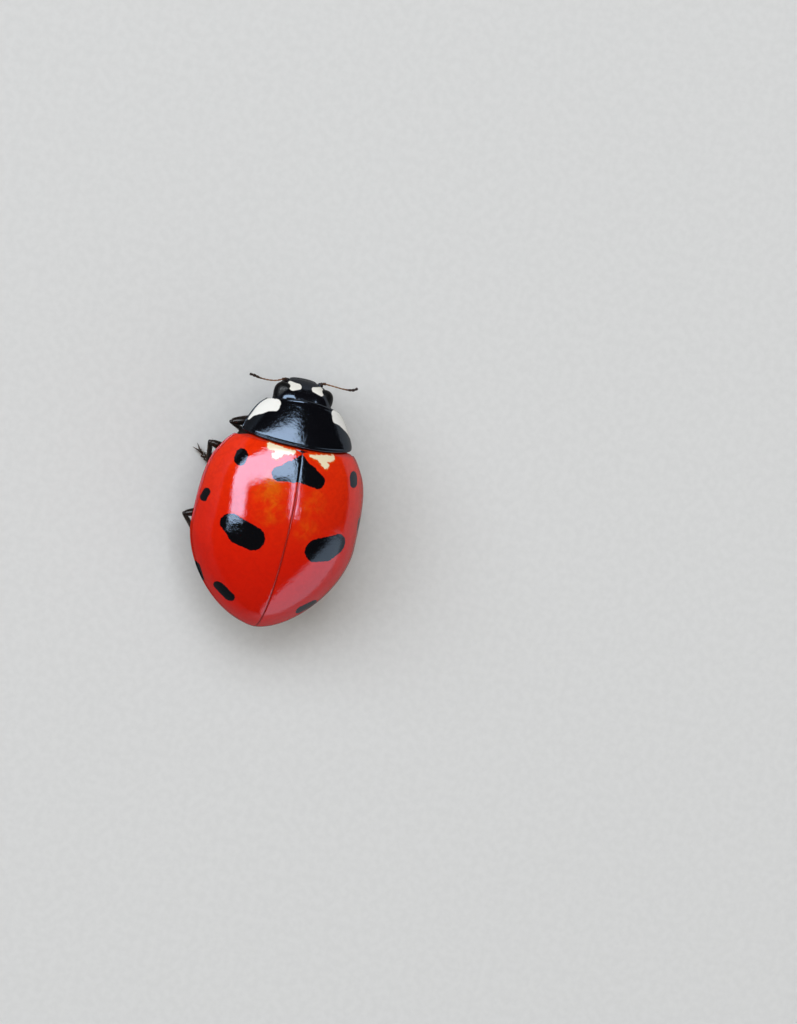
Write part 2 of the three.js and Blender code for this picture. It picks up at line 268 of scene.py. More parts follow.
wingCase = {
    "seam": 0.0015,         # half the gap along the suture
    "seamRoll": 0.012,      # rounding of the edge along it
    "frontRoll": 0.07,
    "lift": 0.01,           # how far the margin lies above the dome's
    "wall": 0.075, "wallShare": 0.3,                # thinner where the case is narrow or low
    "bead": 0.03,           # radius of the raised bead round the outer edge
    "flare": 0.55, "flareFrom": 0.7,
    "narrow": 1.2,          # half width under which the rim and the bead shrink
    "cornerShare": 0.8, "cornerPower": 6,           # the front corner turns up
    "fold": 0.33,           # width of the folded under edge
    "foldFade": (-0.25, 1.6), "foldShare": 0.75,    # narrower towards the tail
    "foldHollow": 0.05, "foldHollowPower": 0.8, "foldRise": 0.02,
    "insideFrom": 1.32,     # the angle from the top at which the inner wall begins
    "clear": 0.3, "rowsClear": 3,                   # how that wall keeps off the fold
    "leastEdge": 0.05, "mostSeam": 0.6,             # limits where the case closes at the tail
    "rimSeam": 0.6, "rimFrom": 0.94, "rimFold": 0.3,    # the rim attribute's values and start
    "shoulder": {"x": 1.2, "y": 0.36, "lift": 0.022, "spread": 0.22},
    "frontStations": [0, 0.006, 0.016, 0.032, 0.052, 0.078, 0.11], "middleFrom": 0.15,
    "rowsAcross": 52, "rowsBefore": 34, "rowsBehind": 46,
    "rowsSeam": 5, "rowsBead": 7, "rowsFold": 6, "rowsInside": 14,
}


def wingStations():
    widest, rear = shell["widestY"], tailY + 2 * wingCase["seam"]
    count = wingCase["rowsBefore"]
    middle = [mix(wingCase["middleFrom"], widest, k / count) for k in range(count)]
    count = wingCase["rowsBehind"]
    behind = [widest + (rear - widest) * math.sin(k / count * math.pi / 2) for k in range(count + 1)]
    return wingCase["frontStations"] + middle + behind


def shoulderLift(x, y):
    bump = wingCase["shoulder"]
    away = ((x - bump["x"]) ** 2 + (y - bump["y"]) ** 2) / bump["spread"] ** 2
    return bump["lift"] * math.exp(-away)


def cornerRise(station):
    return wingCase["cornerShare"] * rollDip(station, shell["cornerLift"])


def wingPoint(theta, station, inset=0):
    # theta runs from the top of the dome to its edge
    share = math.sin(theta)
    x, y = domePlace(share, station)
    half = domeHalfWidth(y)
    rim = shell["rim"] * min(half / wingCase["narrow"], 1)
    flare = ease(theta / (math.pi / 2), wingCase["flareFrom"], 1) ** 2 * rim * wingCase["flare"]
    level = shell["marginHeight"] + wingCase["lift"]
    rise = max(domeRise(y) - wingCase["lift"], 0)
    outward = abs(share) ** wingCase["cornerPower"]
    lift = cornerRise(station) * outward
    dip = rollDip(station, wingCase["frontRoll"]) * (1 - outward)
    z = level + lift - dip + rise * arch(share) + shoulderLift(x, y)
    x = x * (1 - rim / max(half, rim)) + flare
    return Vector((x - inset * share, y, z - inset * arch(share)))


def wingSection(station):
    seam, roll = wingCase["seam"], wingCase["seamRoll"]
    edgeX, edgeY = domePlace(1, station)
    small = min(edgeX / wingCase["narrow"], 1)
    bead = wingCase["bead"] * small
    thin = wingCase["wallShare"]
    wall = min(wingCase["wall"], thin * edgeX, thin * domeRise(station) + wingCase["lift"])
    seamShare = (seam + roll) / max(edgeX, wingCase["leastEdge"])
    thetaStart = math.asin(min(seamShare, wingCase["mostSeam"]))
    crown = wingPoint(0, station)
    section = []
    # down the suture's wall and round its top edge
    section.append((Vector((seam, crown.y, crown.z - roll - wall)), wingCase["rimSeam"]))
    count = wingCase["rowsSeam"]
    for k in range(count):
        turn = math.pi - k / (count - 1) * math.pi / 2
        place = Vector((seam + roll + roll * math.cos(turn), crown.y,
                        crown.z - roll + roll * math.sin(turn)))
        section.append((place, 1 - k / count))
    # over the dome to the edge
    count = wingCase["rowsAcross"]
    for k in range(1, count + 1):
        theta = mix(thetaStart, math.pi / 2, k / count)
        section.append((wingPoint(theta, station), ease(k / count, wingCase["rimFrom"], 1)))
    # round the bead
    level = shell["marginHeight"] + wingCase["lift"] + cornerRise(station)
    heart = Vector((edgeX - bead, edgeY, level - bead))
    count = wingCase["rowsBead"]
    for k in range(1, count + 1):
        turn = mix(math.pi / 2, -math.pi / 2, k / count)
        section.append((heart + Vector((bead * math.cos(turn), 0, bead * math.sin(turn))), 1))
    # the folded under edge, slightly hollow
    fade = ease(tailY - station, *wingCase["foldFade"])
    fold = min(wingCase["fold"] * fade, wingCase["foldShare"] * edgeX)
    under = heart.z - bead
    count = wingCase["rowsFold"]
    for k in range(1, count + 1):
        t = k / count
        hollow = wingCase["foldHollow"] * small * math.sin(t * math.pi) ** wingCase["foldHollowPower"]
        rise = hollow + wingCase["foldRise"] * t
        place = Vector((heart.x - fold * t, edgeY, under + rise))
        section.append((place, wingCase["rimFold"] * (1 - t)))
    # back up inside, clear of the fold
    count = wingCase["rowsInside"]
    for k in range(count):
        theta = mix(wingCase["insideFrom"], thetaStart, k / (count - 1))
        point = wingPoint(theta, station, wall)
        if k < wingCase["rowsClear"]:
            point.x = min(point.x, heart.x - fold + wingCase["clear"] * fold * math.cos(theta))
        section.append((point, 0))
    section.append(section[0])
    return section


def makeWingCase():
    piece = gridForm("elytronLeft", [wingSection(y) for y in wingStations()])
    smooth(piece, 40)
    return piece


shield = {
    "frontY": -0.997, "rearY": -0.02, "frontHalfWidth": 0.93, "rearHalfWidth": 1.253, "swell": 1.7,
    "rearTop": 2.085, "frontEdge": 1.116, "rearEdge": 1.3,
    "slope": 0.7, "flatSlope": 0.3, "flatLength": 0.5,   # steep in front, flatter by the wing cases
    "frontSag": 0.193, "thickness": 0.1, "bead": 0.022,
    # what fades out from an end: how much, and over what share of the length
    "frontCorner": (0.12, 0.07), "rearCorner": (0.035, 0.05), "frontLift": (0.05, 0.07),
    "rearRoll": 0.035, "frontRoll": 0.03,
    # each groove's distance from its edge, its depth and its width
    "rearGroove": (0.055, 0.016, 0.016), "frontGroove": (0.05, 0.01, 0.014),
    "beadBlend": (0.9, 0.97), "beadTurn": (80, -90), "beadDrop": 0.3, "rowsBead": 6,
    "inside": {"from": 1.36, "inset": 0.02, "width": 0.93, "rows": 16},
    "endWall": 0.02, "endSlope": 1.6,                    # the wall thins out towards both ends
    "rowsAcross": 72, "rowsAlong": 44,
    "frontStations": [0, 0.006, 0.014, 0.024], "middle": (0.036, 0.9),
    "rearStations": [0.912, 0.922, 0.93, 0.938, 0.945, 0.952, 0.96, 0.968, 0.976, 0.984, 0.991,
                     0.996, 1],
}


def fading(distance, form):
    amount, reach = form
    return amount * math.exp(-distance / reach)


def grooveDepth(distance, form):
    middle, depth, width = form
    return depth * math.exp(-((distance - middle) / width) ** 2)


def shieldFront(x):
    return shield["frontY"] + shield["frontSag"] * (x / shield["frontHalfWidth"]) ** 2


def shieldPoint(theta, u, inset=0):
    # theta runs across from edge to edge, and u from front to rear
    share = math.sin(theta)
    swell = 1 - (1 - u) ** shield["swell"]
    corner = 1 - fading(u, shield["frontCorner"]) - fading(1 - u, shield["rearCorner"])
    width = mix(shield["frontHalfWidth"], shield["rearHalfWidth"], swell) * corner - inset
    edge = mix(shield["frontEdge"], shield["rearEdge"], u) + fading(u, shield["frontLift"])
    x = share * width
    front, rear = shieldFront(x), shield["rearY"] - baseArc(x)
    back = (1 - u) * (shield["rearY"] - shield["frontY"])
    eased = shield["flatLength"] * (1 - math.exp(-back / shield["flatLength"]))
    top = shield["rearTop"] - shield["slope"] * back + (shield["slope"] - shield["flatSlope"]) * eased
    z = edge + (top - edge) * arch(share)
    length = rear - front
    toRear, toFront = (1 - u) * length, u * length
    # a fine groove and a rounded lip along the rear edge, a narrow bead along the front one
    z -= grooveDepth(toRear, shield["rearGroove"])
    z -= rollDip(toRear, shield["rearRoll"]) + rollDip(toFront, shield["frontRoll"])
    z -= grooveDepth(toFront, shield["frontGroove"]) * arch(share)
    return Vector((x, mix(front, rear, u), z - inset * arch(share)))


def shieldSection(u):
    count = shield["rowsAcross"]
    bead = shield["bead"]
    thick = min(shield["thickness"], shield["endWall"] + shield["endSlope"] * min(u, 1 - u))
    section = []
    for k in range(count + 1):
        theta = mix(-math.pi / 2, math.pi / 2, k / count)
        point = shieldPoint(theta, u)
        edge = ease(abs(theta) / (math.pi / 2), *shield["beadBlend"])
        point.x -= math.copysign(bead, point.x) * edge if abs(point.x) > bead else 0
        section.append((point, edge))
    for side in (1, -1):
        rim = shieldPoint(side * math.pi / 2, u)
        heart = Vector((rim.x - side * bead, rim.y, rim.z - shield["beadDrop"] * bead))
        steps = shield["rowsBead"]
        turns = [math.radians(mix(*shield["beadTurn"], k / steps)) for k in range(steps + 1)]
        ring = [(heart + Vector((side * bead * math.cos(a), 0, bead * math.sin(a))), 1) for a in turns]
        section += ring if side > 0 else ring[::-1]
        if side > 0:
            inside = shield["inside"]
            for k in range(1, inside["rows"]):
                theta = mix(inside["from"], -inside["from"], k / inside["rows"])
                point = shieldPoint(theta, u, inside["inset"])
                section.append((Vector((point.x * inside["width"], point.y, point.z - thick)), 0))
    # the left bead's points were laid last, so the loop closes on the first one
    section.append(section[0])
    return section


def makePronotum():
    count = shield["rowsAlong"]
    middle = [mix(*shield["middle"], k / count) for k in range(count + 1)]
    stations = shield["frontStations"] + middle + shield["rearStations"]
    piece = gridForm("pronotumShell", [shieldSection(u) for u in stations])
    smooth(piece, 40)
    return piece


scutellum = {
    "halfWidth": 0.16, "frontY": 0.03, "rearY": 0.25, "taper": 0.8,
    "drop": 0.012, "crest": 0.014, "depth": 0.12, "rows": 12,
}


def makeScutellum():
    # a small three-cornered plate between the wing cases
    plate = scutellum
    clearSelection()
    bpy.ops.mesh.primitive_grid_add(x_subdivisions=plate["rows"], y_subdivisions=plate["rows"], size=2)
    piece = named("scutellumPlate")
    for v in piece.data.vertices:
        t = (v.co.y + 1) / 2
        y = mix(plate["frontY"], plate["rearY"], t)
        x = v.co.x * plate["halfWidth"] * (1 - t) ** plate["taper"]
        crest = plate["crest"] * (1 - v.co.x ** 2) * (1 - t)
        v.co = Vector((x, y, onDome(abs(x), y).z - plate["drop"] + crest))
    makeActive(piece)
    editMode()
    bpy.ops.mesh.select_all(action="SELECT")
    bpy.ops.mesh.remove_doubles(threshold=1e-4)
    objectMode()
    applyModifier(piece, "SOLIDIFY", thickness=plate["depth"], offset=-1)
    facesOut(piece)
    smooth(piece, 40)
    return piece


head = {
    "centre": Vector((0, -0.88, 0.99)), "size": Vector((0.645, 0.48, 0.43)), "power": 2.4,
    "droop": 0.22, "droopPower": 1.5,
    # soft pulls: the place, the move, and how far round it they reach and grip
    "brow": ((0.36, -1.05, 1.26), (0, -0.005, 0.03), 0.2, 0.1),
    "cheek": ((0.48, -1.0, 0.76), (0.02, -0.01, -0.02), 0.2, 0.08),
    "hollow": ((0, -1.12, 1.24), (0, 0.008, -0.015), 0.22, 0.07),
    "eye": {"centre": Vector((0.46, -1.02, 1.05)), "size": Vector((0.205, 0.235, 0.205)), "power": 2.3,
            "flat": 0.25, "flatFrom": 0.1, "tilt": 0.03},
}


def onSide(place, side):
    x, y, z = place
    return Vector((side * x, y, z))


def headPoint(direction, grow=0):
    # the head's surface in a direction from its middle: squarish, drooping in front
    d = direction.normalized()
    power = head["power"]
    reach = (abs(d.x) ** power + abs(d.y) ** power + abs(d.z) ** power) ** (-1 / power)
    drop = head["droop"] * max(-d.y * reach, 0) ** head["droopPower"]
    place = head["centre"] + Vector([c * (size + grow) * reach for c, size in zip(d, head["size"])])
    return place - Vector((0, 0, drop))


def makeHead():
    clearSelection()
    bpy.ops.mesh.primitive_uv_sphere_add(segments=72, ring_count=48, radius=1,
                                         rotation=(math.pi / 2, 0, 0))
    piece = named("headCapsule")
    for v in piece.data.vertices:
        v.co = headPoint(v.co)
    makeActive(piece)
    editMode()
    for side in sides.values():
        # a low brow beside each eye, and the cheek below it
        for place, move, reach, grab in (head["brow"], head["cheek"]):
            nudge(piece, onSide(place, side), onSide(move, side), reach, grab)
    # a shallow hollow between the brows
    nudge(piece, *head["hollow"])
    objectMode()
    smooth(piece)
    return piece


face = {
    # top and bottom of each plate on the head's front, its half widths there, how proud it lies
    # and how thick it is
    "clypeus": {"top": -0.03, "bottom": -0.17, "widths": (0.26, 0.34), "proud": 0.02, "depth": 0.06},
    "labrum": {"top": -0.16, "bottom": -0.3, "widths": (0.22, 0.17), "proud": 0.018, "depth": 0.05},
    # the lower corners are cut in, the lower edge is bowed, and the rim turns into the head
    "cornerFrom": 0.7, "cornerLength": 0.3, "cornerCut": 0.16, "bow": 0.02,
    "rimPower": 14, "rimTurn": 1.2, "proudOver": 0.6, "topDrop": 0.004,
}


def onFace(x, rise, grow):
    # the head's front surface, from a place across it and above its middle
    wide, high = x / head["size"].x, rise / head["size"].z
    left = max(1 - abs(wide) ** head["power"] - abs(high) ** head["power"], 0) ** (1 / head["power"])
    return headPoint(Vector((wide, -left, high)), grow)


def makeFacePlate(name):
    form = face[name]
    clearSelection()
    bpy.ops.mesh.primitive_grid_add(x_subdivisions=24, y_subdivisions=10, size=2)
    piece = named(f"{name}Plate")
    for v in piece.data.vertices:
        across, t = v.co.x, (1 - v.co.y) / 2
        cut = face["cornerCut"] * max(t - face["cornerFrom"], 0) / face["cornerLength"]
        width = mix(*form["widths"], t) * (1 - cut)
        bottom = form["bottom"] + face["bow"] * across ** 4
        rim = max(abs(across), 2 * t - 1) ** face["rimPower"]
        proud = form["proud"] * (ease(t, 0, face["proudOver"]) - face["rimTurn"] * rim)
        proud -= face["topDrop"] * (1 - t)
        v.co = onFace(across * width, mix(form["top"], bottom, t), proud)
    applyModifier(piece, "SOLIDIFY", thickness=form["depth"], offset=-1)
    facesOut(piece)
    smooth(piece, 45)
    return piece


def turnedForm(name, rings, around):
    # drawn out along X ring by ring: each ring is (x, half width, half height, lift)
    clearSelection()
    x, wide, high, lift = rings[0]
    bpy.ops.mesh.primitive_circle_add(vertices=around, radius=1, fill_type="NGON",
                                      rotation=(0, math.pi / 2, 0), location=(x, 0, lift))
    piece = named(name)
    editMode()
    bpy.ops.mesh.select_all(action="SELECT")
    bpy.ops.transform.resize(value=(1, wide, high))
    for (x, wide, high, lift), (nextX, nextWide, nextHigh, nextLift) in zip(rings, rings[1:]):
        step = (nextX - x, 0, nextLift - lift)
        bpy.ops.mesh.extrude_region_move(TRANSFORM_OT_translate={"value": step})
        bpy.ops.transform.resize(value=(1, nextWide / wide, nextHigh / high))
    bpy.ops.mesh.select_all(action="SELECT")
    bpy.ops.mesh.normals_make_consistent(inside=False)
    objectMode()
    applyModifier(piece, "SUBSURF", levels=1, render_levels=1)
    smooth(piece)
    return piece


def placed(template, name, start, end, girth=1, length=None):
    # a copy of a form drawn along X from 0 to 1, laid from start to end
    piece = copyOf(template, name)
    along = (end - start).normalized()
    side = upright.cross(along).normalized()
    top = along.cross(side)
    reach = (end - start).length if length is None else length
    turn = Matrix((along * reach, side * girth, top * girth)).transposed().to_4x4()
    piece.data.transform(Matrix.Translation(start) @ turn)
    return piece


# places are the left side's, and rings are as turnedForm takes them
mouth = {
    "mandible": {
        "rings": [(0, 0.05, 0.06, 0), (0.2, 0.075, 0.08, 0), (0.55, 0.065, 0.07, 0),
                  (0.85, 0.035, 0.045, 0), (1, 0.008, 0.012, 0)],
        "around": 12, "curve": 0.05, "start": (0.25, -1.08, 0.57), "end": (0.06, -1.29, 0.525)},
    "palp": {
        "joints": [(0.22, -0.94, 0.62), (0.3, -1.0, 0.58), (0.34, -1.06, 0.56), (0.33, -1.11, 0.54)],
        "girths": [0.04, 0.045, 0.04]},
    # the broad hatchet-shaped last piece of a palp
    "hatchet": {
        "rings": [(0, 0.03, 0.02, 0), (0.03, 0.04, 0.03, 0), (0.08, 0.06, 0.034, 0),
                  (0.12, 0.075, 0.032, 0), (0.13, 0.07, 0.02, 0)],
        "around": 14, "start": (0.33, -1.1, 0.54), "end": (0.28, -1.19, 0.48)},
}


def makeMandibles():
    form = mouth["mandible"]
    blade = turnedForm("mandible", form["rings"], form["around"])
    for v in blade.data.vertices:
        v.co.y -= form["curve"] * v.co.x ** 2
    left = placed(blade, "mandibleLeft", Vector(form["start"]), Vector(form["end"]))
    right = flipped(left, "mandibleRight")
    bpy.data.objects.remove(blade)
    return joinPieces([left, right], "mandibles")


def makePalp(segment, sideName):
    side, palp, tip = sides[sideName], mouth["palp"], mouth["hatchet"]
    joints = [onSide(place, side) for place in palp["joints"]]
    parts = []
    for k, (start, end) in enumerate(zip(joints, joints[1:])):
        parts.append(placed(segment, f"palpPart{k}", start, end, palp["girths"][k]))
    hatchet = turnedForm("palpTip", tip["rings"], tip["around"])
    parts.append(placed(hatchet, "palpPartTip", onSide(tip["start"], side), onSide(tip["end"], side),
                        length=1))
    bpy.data.objects.remove(hatchet)
    piece = joinPieces(parts, f"palp{sideName.title()}")
    smooth(piece)
    return piece


def makeEye(sideName):
    side, eye = sides[sideName], head["eye"]
    clearSelection()
    bpy.ops.mesh.primitive_ico_sphere_add(subdivisions=5, radius=1)
    piece = named(f"eye{sideName.title()}")
    power = eye["power"]
    for v in piece.data.vertices:
        # a little squared, and flatter where it lies against the head
        x, y, z = v.co / sum(abs(c) ** power for c in v.co) ** (1 / power)
        reach = 1 - eye["flat"] * ease(-x, eye["flatFrom"], 1)
        v.co = Vector((side * (eye["centre"].x + x * reach * eye["size"].x),
                       eye["centre"].y + y * eye["size"].y,
                       eye["centre"].z + z * eye["size"].z - eye["tilt"] * x))
    facesOut(piece)
    smooth(piece)
    return piece


antenna = {
    # where each one passes, from its socket to its tip
    "left": [(0.37, -1.24, 0.84), (0.43, -1.315, 0.88), (0.51, -1.29, 0.92), (0.653, -1.235, 0.93),
             (0.835, -1.216, 0.93), (1.022, -1.225, 0.92), (1.144, -1.255, 0.91), (1.245, -1.262, 0.9)],
    "right": [(-0.34, -1.26, 0.84), (-0.375, -1.36, 0.88), (-0.46, -1.365, 0.92), (-0.621, -1.356, 0.93),
              (-0.811, -1.34, 0.93), (-0.998, -1.34, 0.92), (-1.12, -1.365, 0.91), (-1.18, -1.41, 0.9)],
    # length and girth of the eleven segments, from the base
    "segments": [(0.13, 0.042), (0.075, 0.034), (0.1, 0.019), (0.08, 0.018), (0.09, 0.018),
                 (0.075, 0.018), (0.075, 0.019), (0.07, 0.022), (0.08, 0.031), (0.075, 0.037),
                 (0.08, 0.033)],
    "overlap": 0.04, "segmentAround": 12,
    "segmentRings": [(0, 0.45, 0.45, 0), (0.04, 0.62, 0.62, 0), (0.3, 0.82, 0.82, 0),
                     (0.7, 1.0, 1.0, 0), (0.92, 0.95, 0.95, 0), (1.0, 0.55, 0.55, 0)],
    # the low ring that each one grows from, and its share of the way along the first stretch
    "socket": {"radius": 0.05, "girth": 0.013, "along": 0.62},
}


def alongRoute(points, share):
    # a smooth line through the given points
    points = [Vector(p) for p in points]
    lengths = [(b - a).length for a, b in zip(points, points[1:])]
    left = share * sum(lengths)
    k = 0
    while k < len(lengths) - 1 and left > lengths[k]:
        left -= lengths[k]
        k += 1
    t = left / lengths[k]
    a, b = points[k], points[k + 1]
    before = points[k - 1] if k else a * 2 - b
    after = points[k + 2] if k + 2 < len(points) else b * 2 - a
    return 0.5 * (2 * a + (b - before) * t + (2 * before - 5 * a + 4 * b - after) * t ** 2
                  + (3 * a - before - 3 * b + after) * t ** 3)


def makeSocket(sideName):
    ring = antenna["socket"]
    start, end = (Vector(p) for p in antenna[sideName][:2])
    clearSelection()
    bpy.ops.mesh.primitive_torus_add(major_radius=ring["radius"], minor_radius=ring["girth"],
                                     major_segments=32, minor_segments=10)
    piece = named(f"socket{sideName.title()}")
    turn = (end - start).to_track_quat("Z", "Y").to_matrix().to_4x4()
    piece.data.transform(Matrix.Translation(mix(start, end, ring["along"])) @ turn)
    smooth(piece)
    return piece


def makeAntenna(segment, sideName):
    route = antenna[sideName]
    total = sum(length for length, _ in antenna["segments"])
    parts, done = [], 0
    for k, (length, girth) in enumerate(antenna["segments"]):
        start = alongRoute(route, done / total)
        end = alongRoute(route, (done + length) / total)
        part = placed(segment, f"part{k}", start, end + (end - start) * antenna["overlap"], girth)
        shade = part.data.attributes.new("along", "FLOAT", "POINT")
        for value in shade.data:
            value.value = (done + length / 2) / total
        parts.append(part)
        done += length
    piece = joinPieces(parts, f"antenna{sideName.title()}")
    smooth(piece)
    return piece


trunk = {
    "top": 1.035, "depth": 0.33, "power": 2.4, "taper": 0.8, "taperOver": (2.2, 4.35),
    "frontInset": 0.26, "rearInset": 0.2, "length": 3.9,
    "clear": 0.13, "backInset": 0.02, "lowestBack": 0.05,   # room under the wing cases
    "cuts": {"mesothorax": (-0.1, 0.56), "metathorax": (0.56, 1.5), "abdomen": (1.5, 3.92)},
    "rings": [1.93, 2.36, 2.79, 3.16, 3.5],   # rear edges of the first five belly plates
    "step": 0.022, "stepReach": 0.4, "stepRow": 0.012,
    "roundFrom": 3.66, "roundReach": 0.27,    # the tail end closes in a round
    "tailStations": (3.87, 3.893, 3.909), "gap": 0.006,
    "rowLength": 0.07, "rowsBelly": 40, "rowsBack": 24,
}


def trunkInset(y):
    return mix(trunk["frontInset"], trunk["rearInset"], min(max(y / trunk["length"], 0), 1))


def bellyHeight(y, share):
    depth = trunk["depth"] * (1 - trunk["taper"] * ease(y, *trunk["taperOver"]))
    z = trunk["top"] - depth * arch(share, trunk["power"])
    # each plate overlaps the next with a small step
    for edge in trunk["rings"]:
        if y <= edge:
            z -= trunk["step"] * max(0, 1 - (edge - y) / trunk["stepReach"]) * arch(share)
    return z


def trunkSection(y):
    section = []
    across = trunk["rowsBelly"]
    past = max(y - trunk["roundFrom"], 0) / trunk["roundReach"]
    small = math.sqrt(max(1 - past ** 2, 0))
    for k in range(across + 1):
        share = math.sin(mix(-math.pi / 2, math.pi / 2, k / across))
        x = share * domeHalfWidth(y, trunkInset(y)) * small
        z = mix(trunk["top"], bellyHeight(y, share), small)
        section.append((Vector((x, y, z)), 0))
    # the back fills the space under the wing cases
    inset = trunk["backInset"]
    roof = max(domeRise(y) - trunk["clear"], trunk["lowestBack"])
    across = trunk["rowsBack"]
    for k in range(1, across):
        share = math.sin(mix(math.pi / 2, -math.pi / 2, k / across))
        x = share * domeHalfWidth(y, trunkInset(y) + inset) * small
        section.append((Vector((x, y, trunk["top"] + (inset + roof * arch(share)) * small)), 0))
    section.append(section[0])
    return section


def makeTrunk():
    stations = set()
    for low, high in trunk["cuts"].values():
        count = max(8, round((high - low) / trunk["rowLength"]))
        stations.update(round(mix(low, high, k / count), 4) for k in range(count + 1))
    for edge in trunk["rings"]:
        stations.update((edge, round(edge + trunk["stepRow"], 4)))
    stations.update(trunk["tailStations"])
    whole = gridForm("trunk", [trunkSection(y) for y in sorted(stations)])
    pieces = {}
    for name, (low, high) in trunk["cuts"].items():
        piece = copyOf(whole, f"{name}Body")
        makeActive(piece)
        for y, outward in ((low + trunk["gap"], -1), (high - trunk["gap"], 1)):
            editMode()
            bpy.ops.mesh.select_all(action="SELECT")
            bpy.ops.mesh.bisect(plane_co=(0, y, 0), plane_no=(0, outward, 0), use_fill=True,
                                clear_outer=True)
            objectMode()
        facesOut(piece)
        smooth(piece, 35)
        pieces[name] = piece
    bpy.data.objects.remove(whole)
    return pieces


prothorax = {
    "frontShare": 0.3, "rearShare": 0.98,   # how far along the pronotum it reaches
    "side": 1.42, "narrow": 0.95, "drop": 0.11, "low": 0.72, "fullness": 0.7,
    "keelY": -0.36, "keelDepth": 0.05, "keelReach": 0.2, "keelGrip": 0.12,
    "rowsAcross": 36, "rowsAlong": 16,
}


def prothoraxSection(u):
    across = prothorax["rowsAcross"]
    section = []
    for k in range(across + 1):
        x, y, z = shieldPoint(mix(-prothorax["side"], prothorax["side"], k / across), u)
        section.append((Vector((x * prothorax["narrow"], y, z - prothorax["drop"])), 0))
    corner = section[-1][0]
    for k in range(1, across):
        turn = k / across * math.pi
        x = corner.x * math.cos(turn)
        y = mix(shieldFront(x), shield["rearY"] - baseArc(x), u)
        z = corner.z - (corner.z - prothorax["low"]) * math.sin(turn) ** prothorax["fullness"]
        section.append((Vector((x, y, z)), 0))
    section.append(section[0])
    return section


def makeProthorax():
    front, rear, count = prothorax["frontShare"], prothorax["rearShare"], prothorax["rowsAlong"]
    rows = [prothoraxSection(mix(front, rear, k / count)) for k in range(count + 1)]
    piece = gridForm("prothoraxBody", rows)
    makeActive(piece)
    editMode()
    # the keel between the front legs
    nudge(piece, (0, prothorax["keelY"], prothorax["low"]), (0, 0, -prothorax["keelDepth"]),
          prothorax["keelReach"], prothorax["keelGrip"])
    objectMode()
    smooth(piece, 50)
    return piece


# joints of each leg: root, hip, knee, ankle and toe
legs = {
    "frontLeft": [(0.26, -0.38, 0.66), (0.46, -0.38, 0.62), (1.41, -0.16, 0.87),
                  (0.7, 0.18, 0.15), (0.46, -0.14, 0.05)],
    "midLeft": [(0.32, 0.72, 0.66), (0.55, 0.67, 0.62), (1.77, 0.36, 0.87),
                (1.55, 0.88, 0.14), (1.81, 0.67, 0.05)],
    "hindLeft": [(0.34, 1.6, 0.66), (0.6, 1.65, 0.62), (1.99, 2.01, 0.86),
                 (1.3, 2.7, 0.15), (1.02, 3.12, 0.05)],
    "frontRight": [(-0.26, -0.38, 0.66), (-0.46, -0.38, 0.62), (-1.2, -0.2, 0.84),
                   (-0.96, -0.58, 0.15), (-0.74, -0.9, 0.05)],
    "midRight": [(-0.32, 0.72, 0.66), (-0.55, 0.69, 0.62), (-1.64, 0.62, 0.86),
                 (-1.48, 1.2, 0.15), (-1.5, 1.68, 0.05)],
    "hindRight": [(-0.34, 1.6, 0.66), (-0.6, 1.67, 0.62), (-1.75, 2.09, 0.84),
                  (-1.22, 2.76, 0.15), (-0.96, 3.18, 0.05)],
}


# for each form, the points round it and its rings, as turnedForm takes them
legRings = {
    "coxa": (16, [
        (-0.25, 0.09, 0.08, 0), (0, 0.13, 0.12, 0), (0.5, 0.15, 0.14, 0),
        (0.9, 0.13, 0.12, 0), (1.1, 0.07, 0.07, 0)]),
    "trochanter": (14, [
        (-0.1, 0.05, 0.05, 0), (0.15, 0.085, 0.085, 0), (0.7, 0.1, 0.095, 0),
        (1.1, 0.06, 0.06, 0)]),
    "femur": (18, [
        (0, 0.035, 0.045, 0), (0.05, 0.07, 0.075, 0), (0.18, 0.1, 0.115, 0.005),
        (0.42, 0.115, 0.14, 0.01), (0.68, 0.108, 0.13, 0.008), (0.86, 0.09, 0.105, 0),
        (0.96, 0.068, 0.08, -0.004), (1.0, 0.035, 0.045, -0.006)]),
    "tibia": (16, [
        (0, 0.03, 0.035, 0), (0.04, 0.052, 0.058, 0), (0.12, 0.05, 0.06, 0.006),
        (0.4, 0.055, 0.072, 0.012), (0.7, 0.062, 0.08, 0.006), (0.9, 0.07, 0.085, 0),
        (0.98, 0.06, 0.07, 0), (1.0, 0.035, 0.04, 0)]),
    "pad": (14, [
        (0, 0.03, 0.03, 0), (0.15, 0.036, 0.036, 0), (0.6, 0.055, 0.042, 0),
        (0.95, 0.07, 0.04, -0.006), (1.08, 0.05, 0.02, -0.012)]),
    "stalk": (12, [
        (0, 0.024, 0.026, 0), (0.2, 0.026, 0.028, 0.01), (0.7, 0.03, 0.032, 0.01),
        (0.95, 0.04, 0.038, 0), (1.03, 0.025, 0.025, 0)]),
    "claw": (10, [
        (0, 0.022, 0.028, 0), (0.25, 0.018, 0.026, 0.02), (0.55, 0.012, 0.018, 0.015),
        (0.85, 0.007, 0.01, -0.03), (1.0, 0.003, 0.004, -0.07)]),
    "spur": (8, [(0, 0.012, 0.012, 0), (0.5, 0.008, 0.008, 0), (1, 0.002, 0.002, 0)]),
}

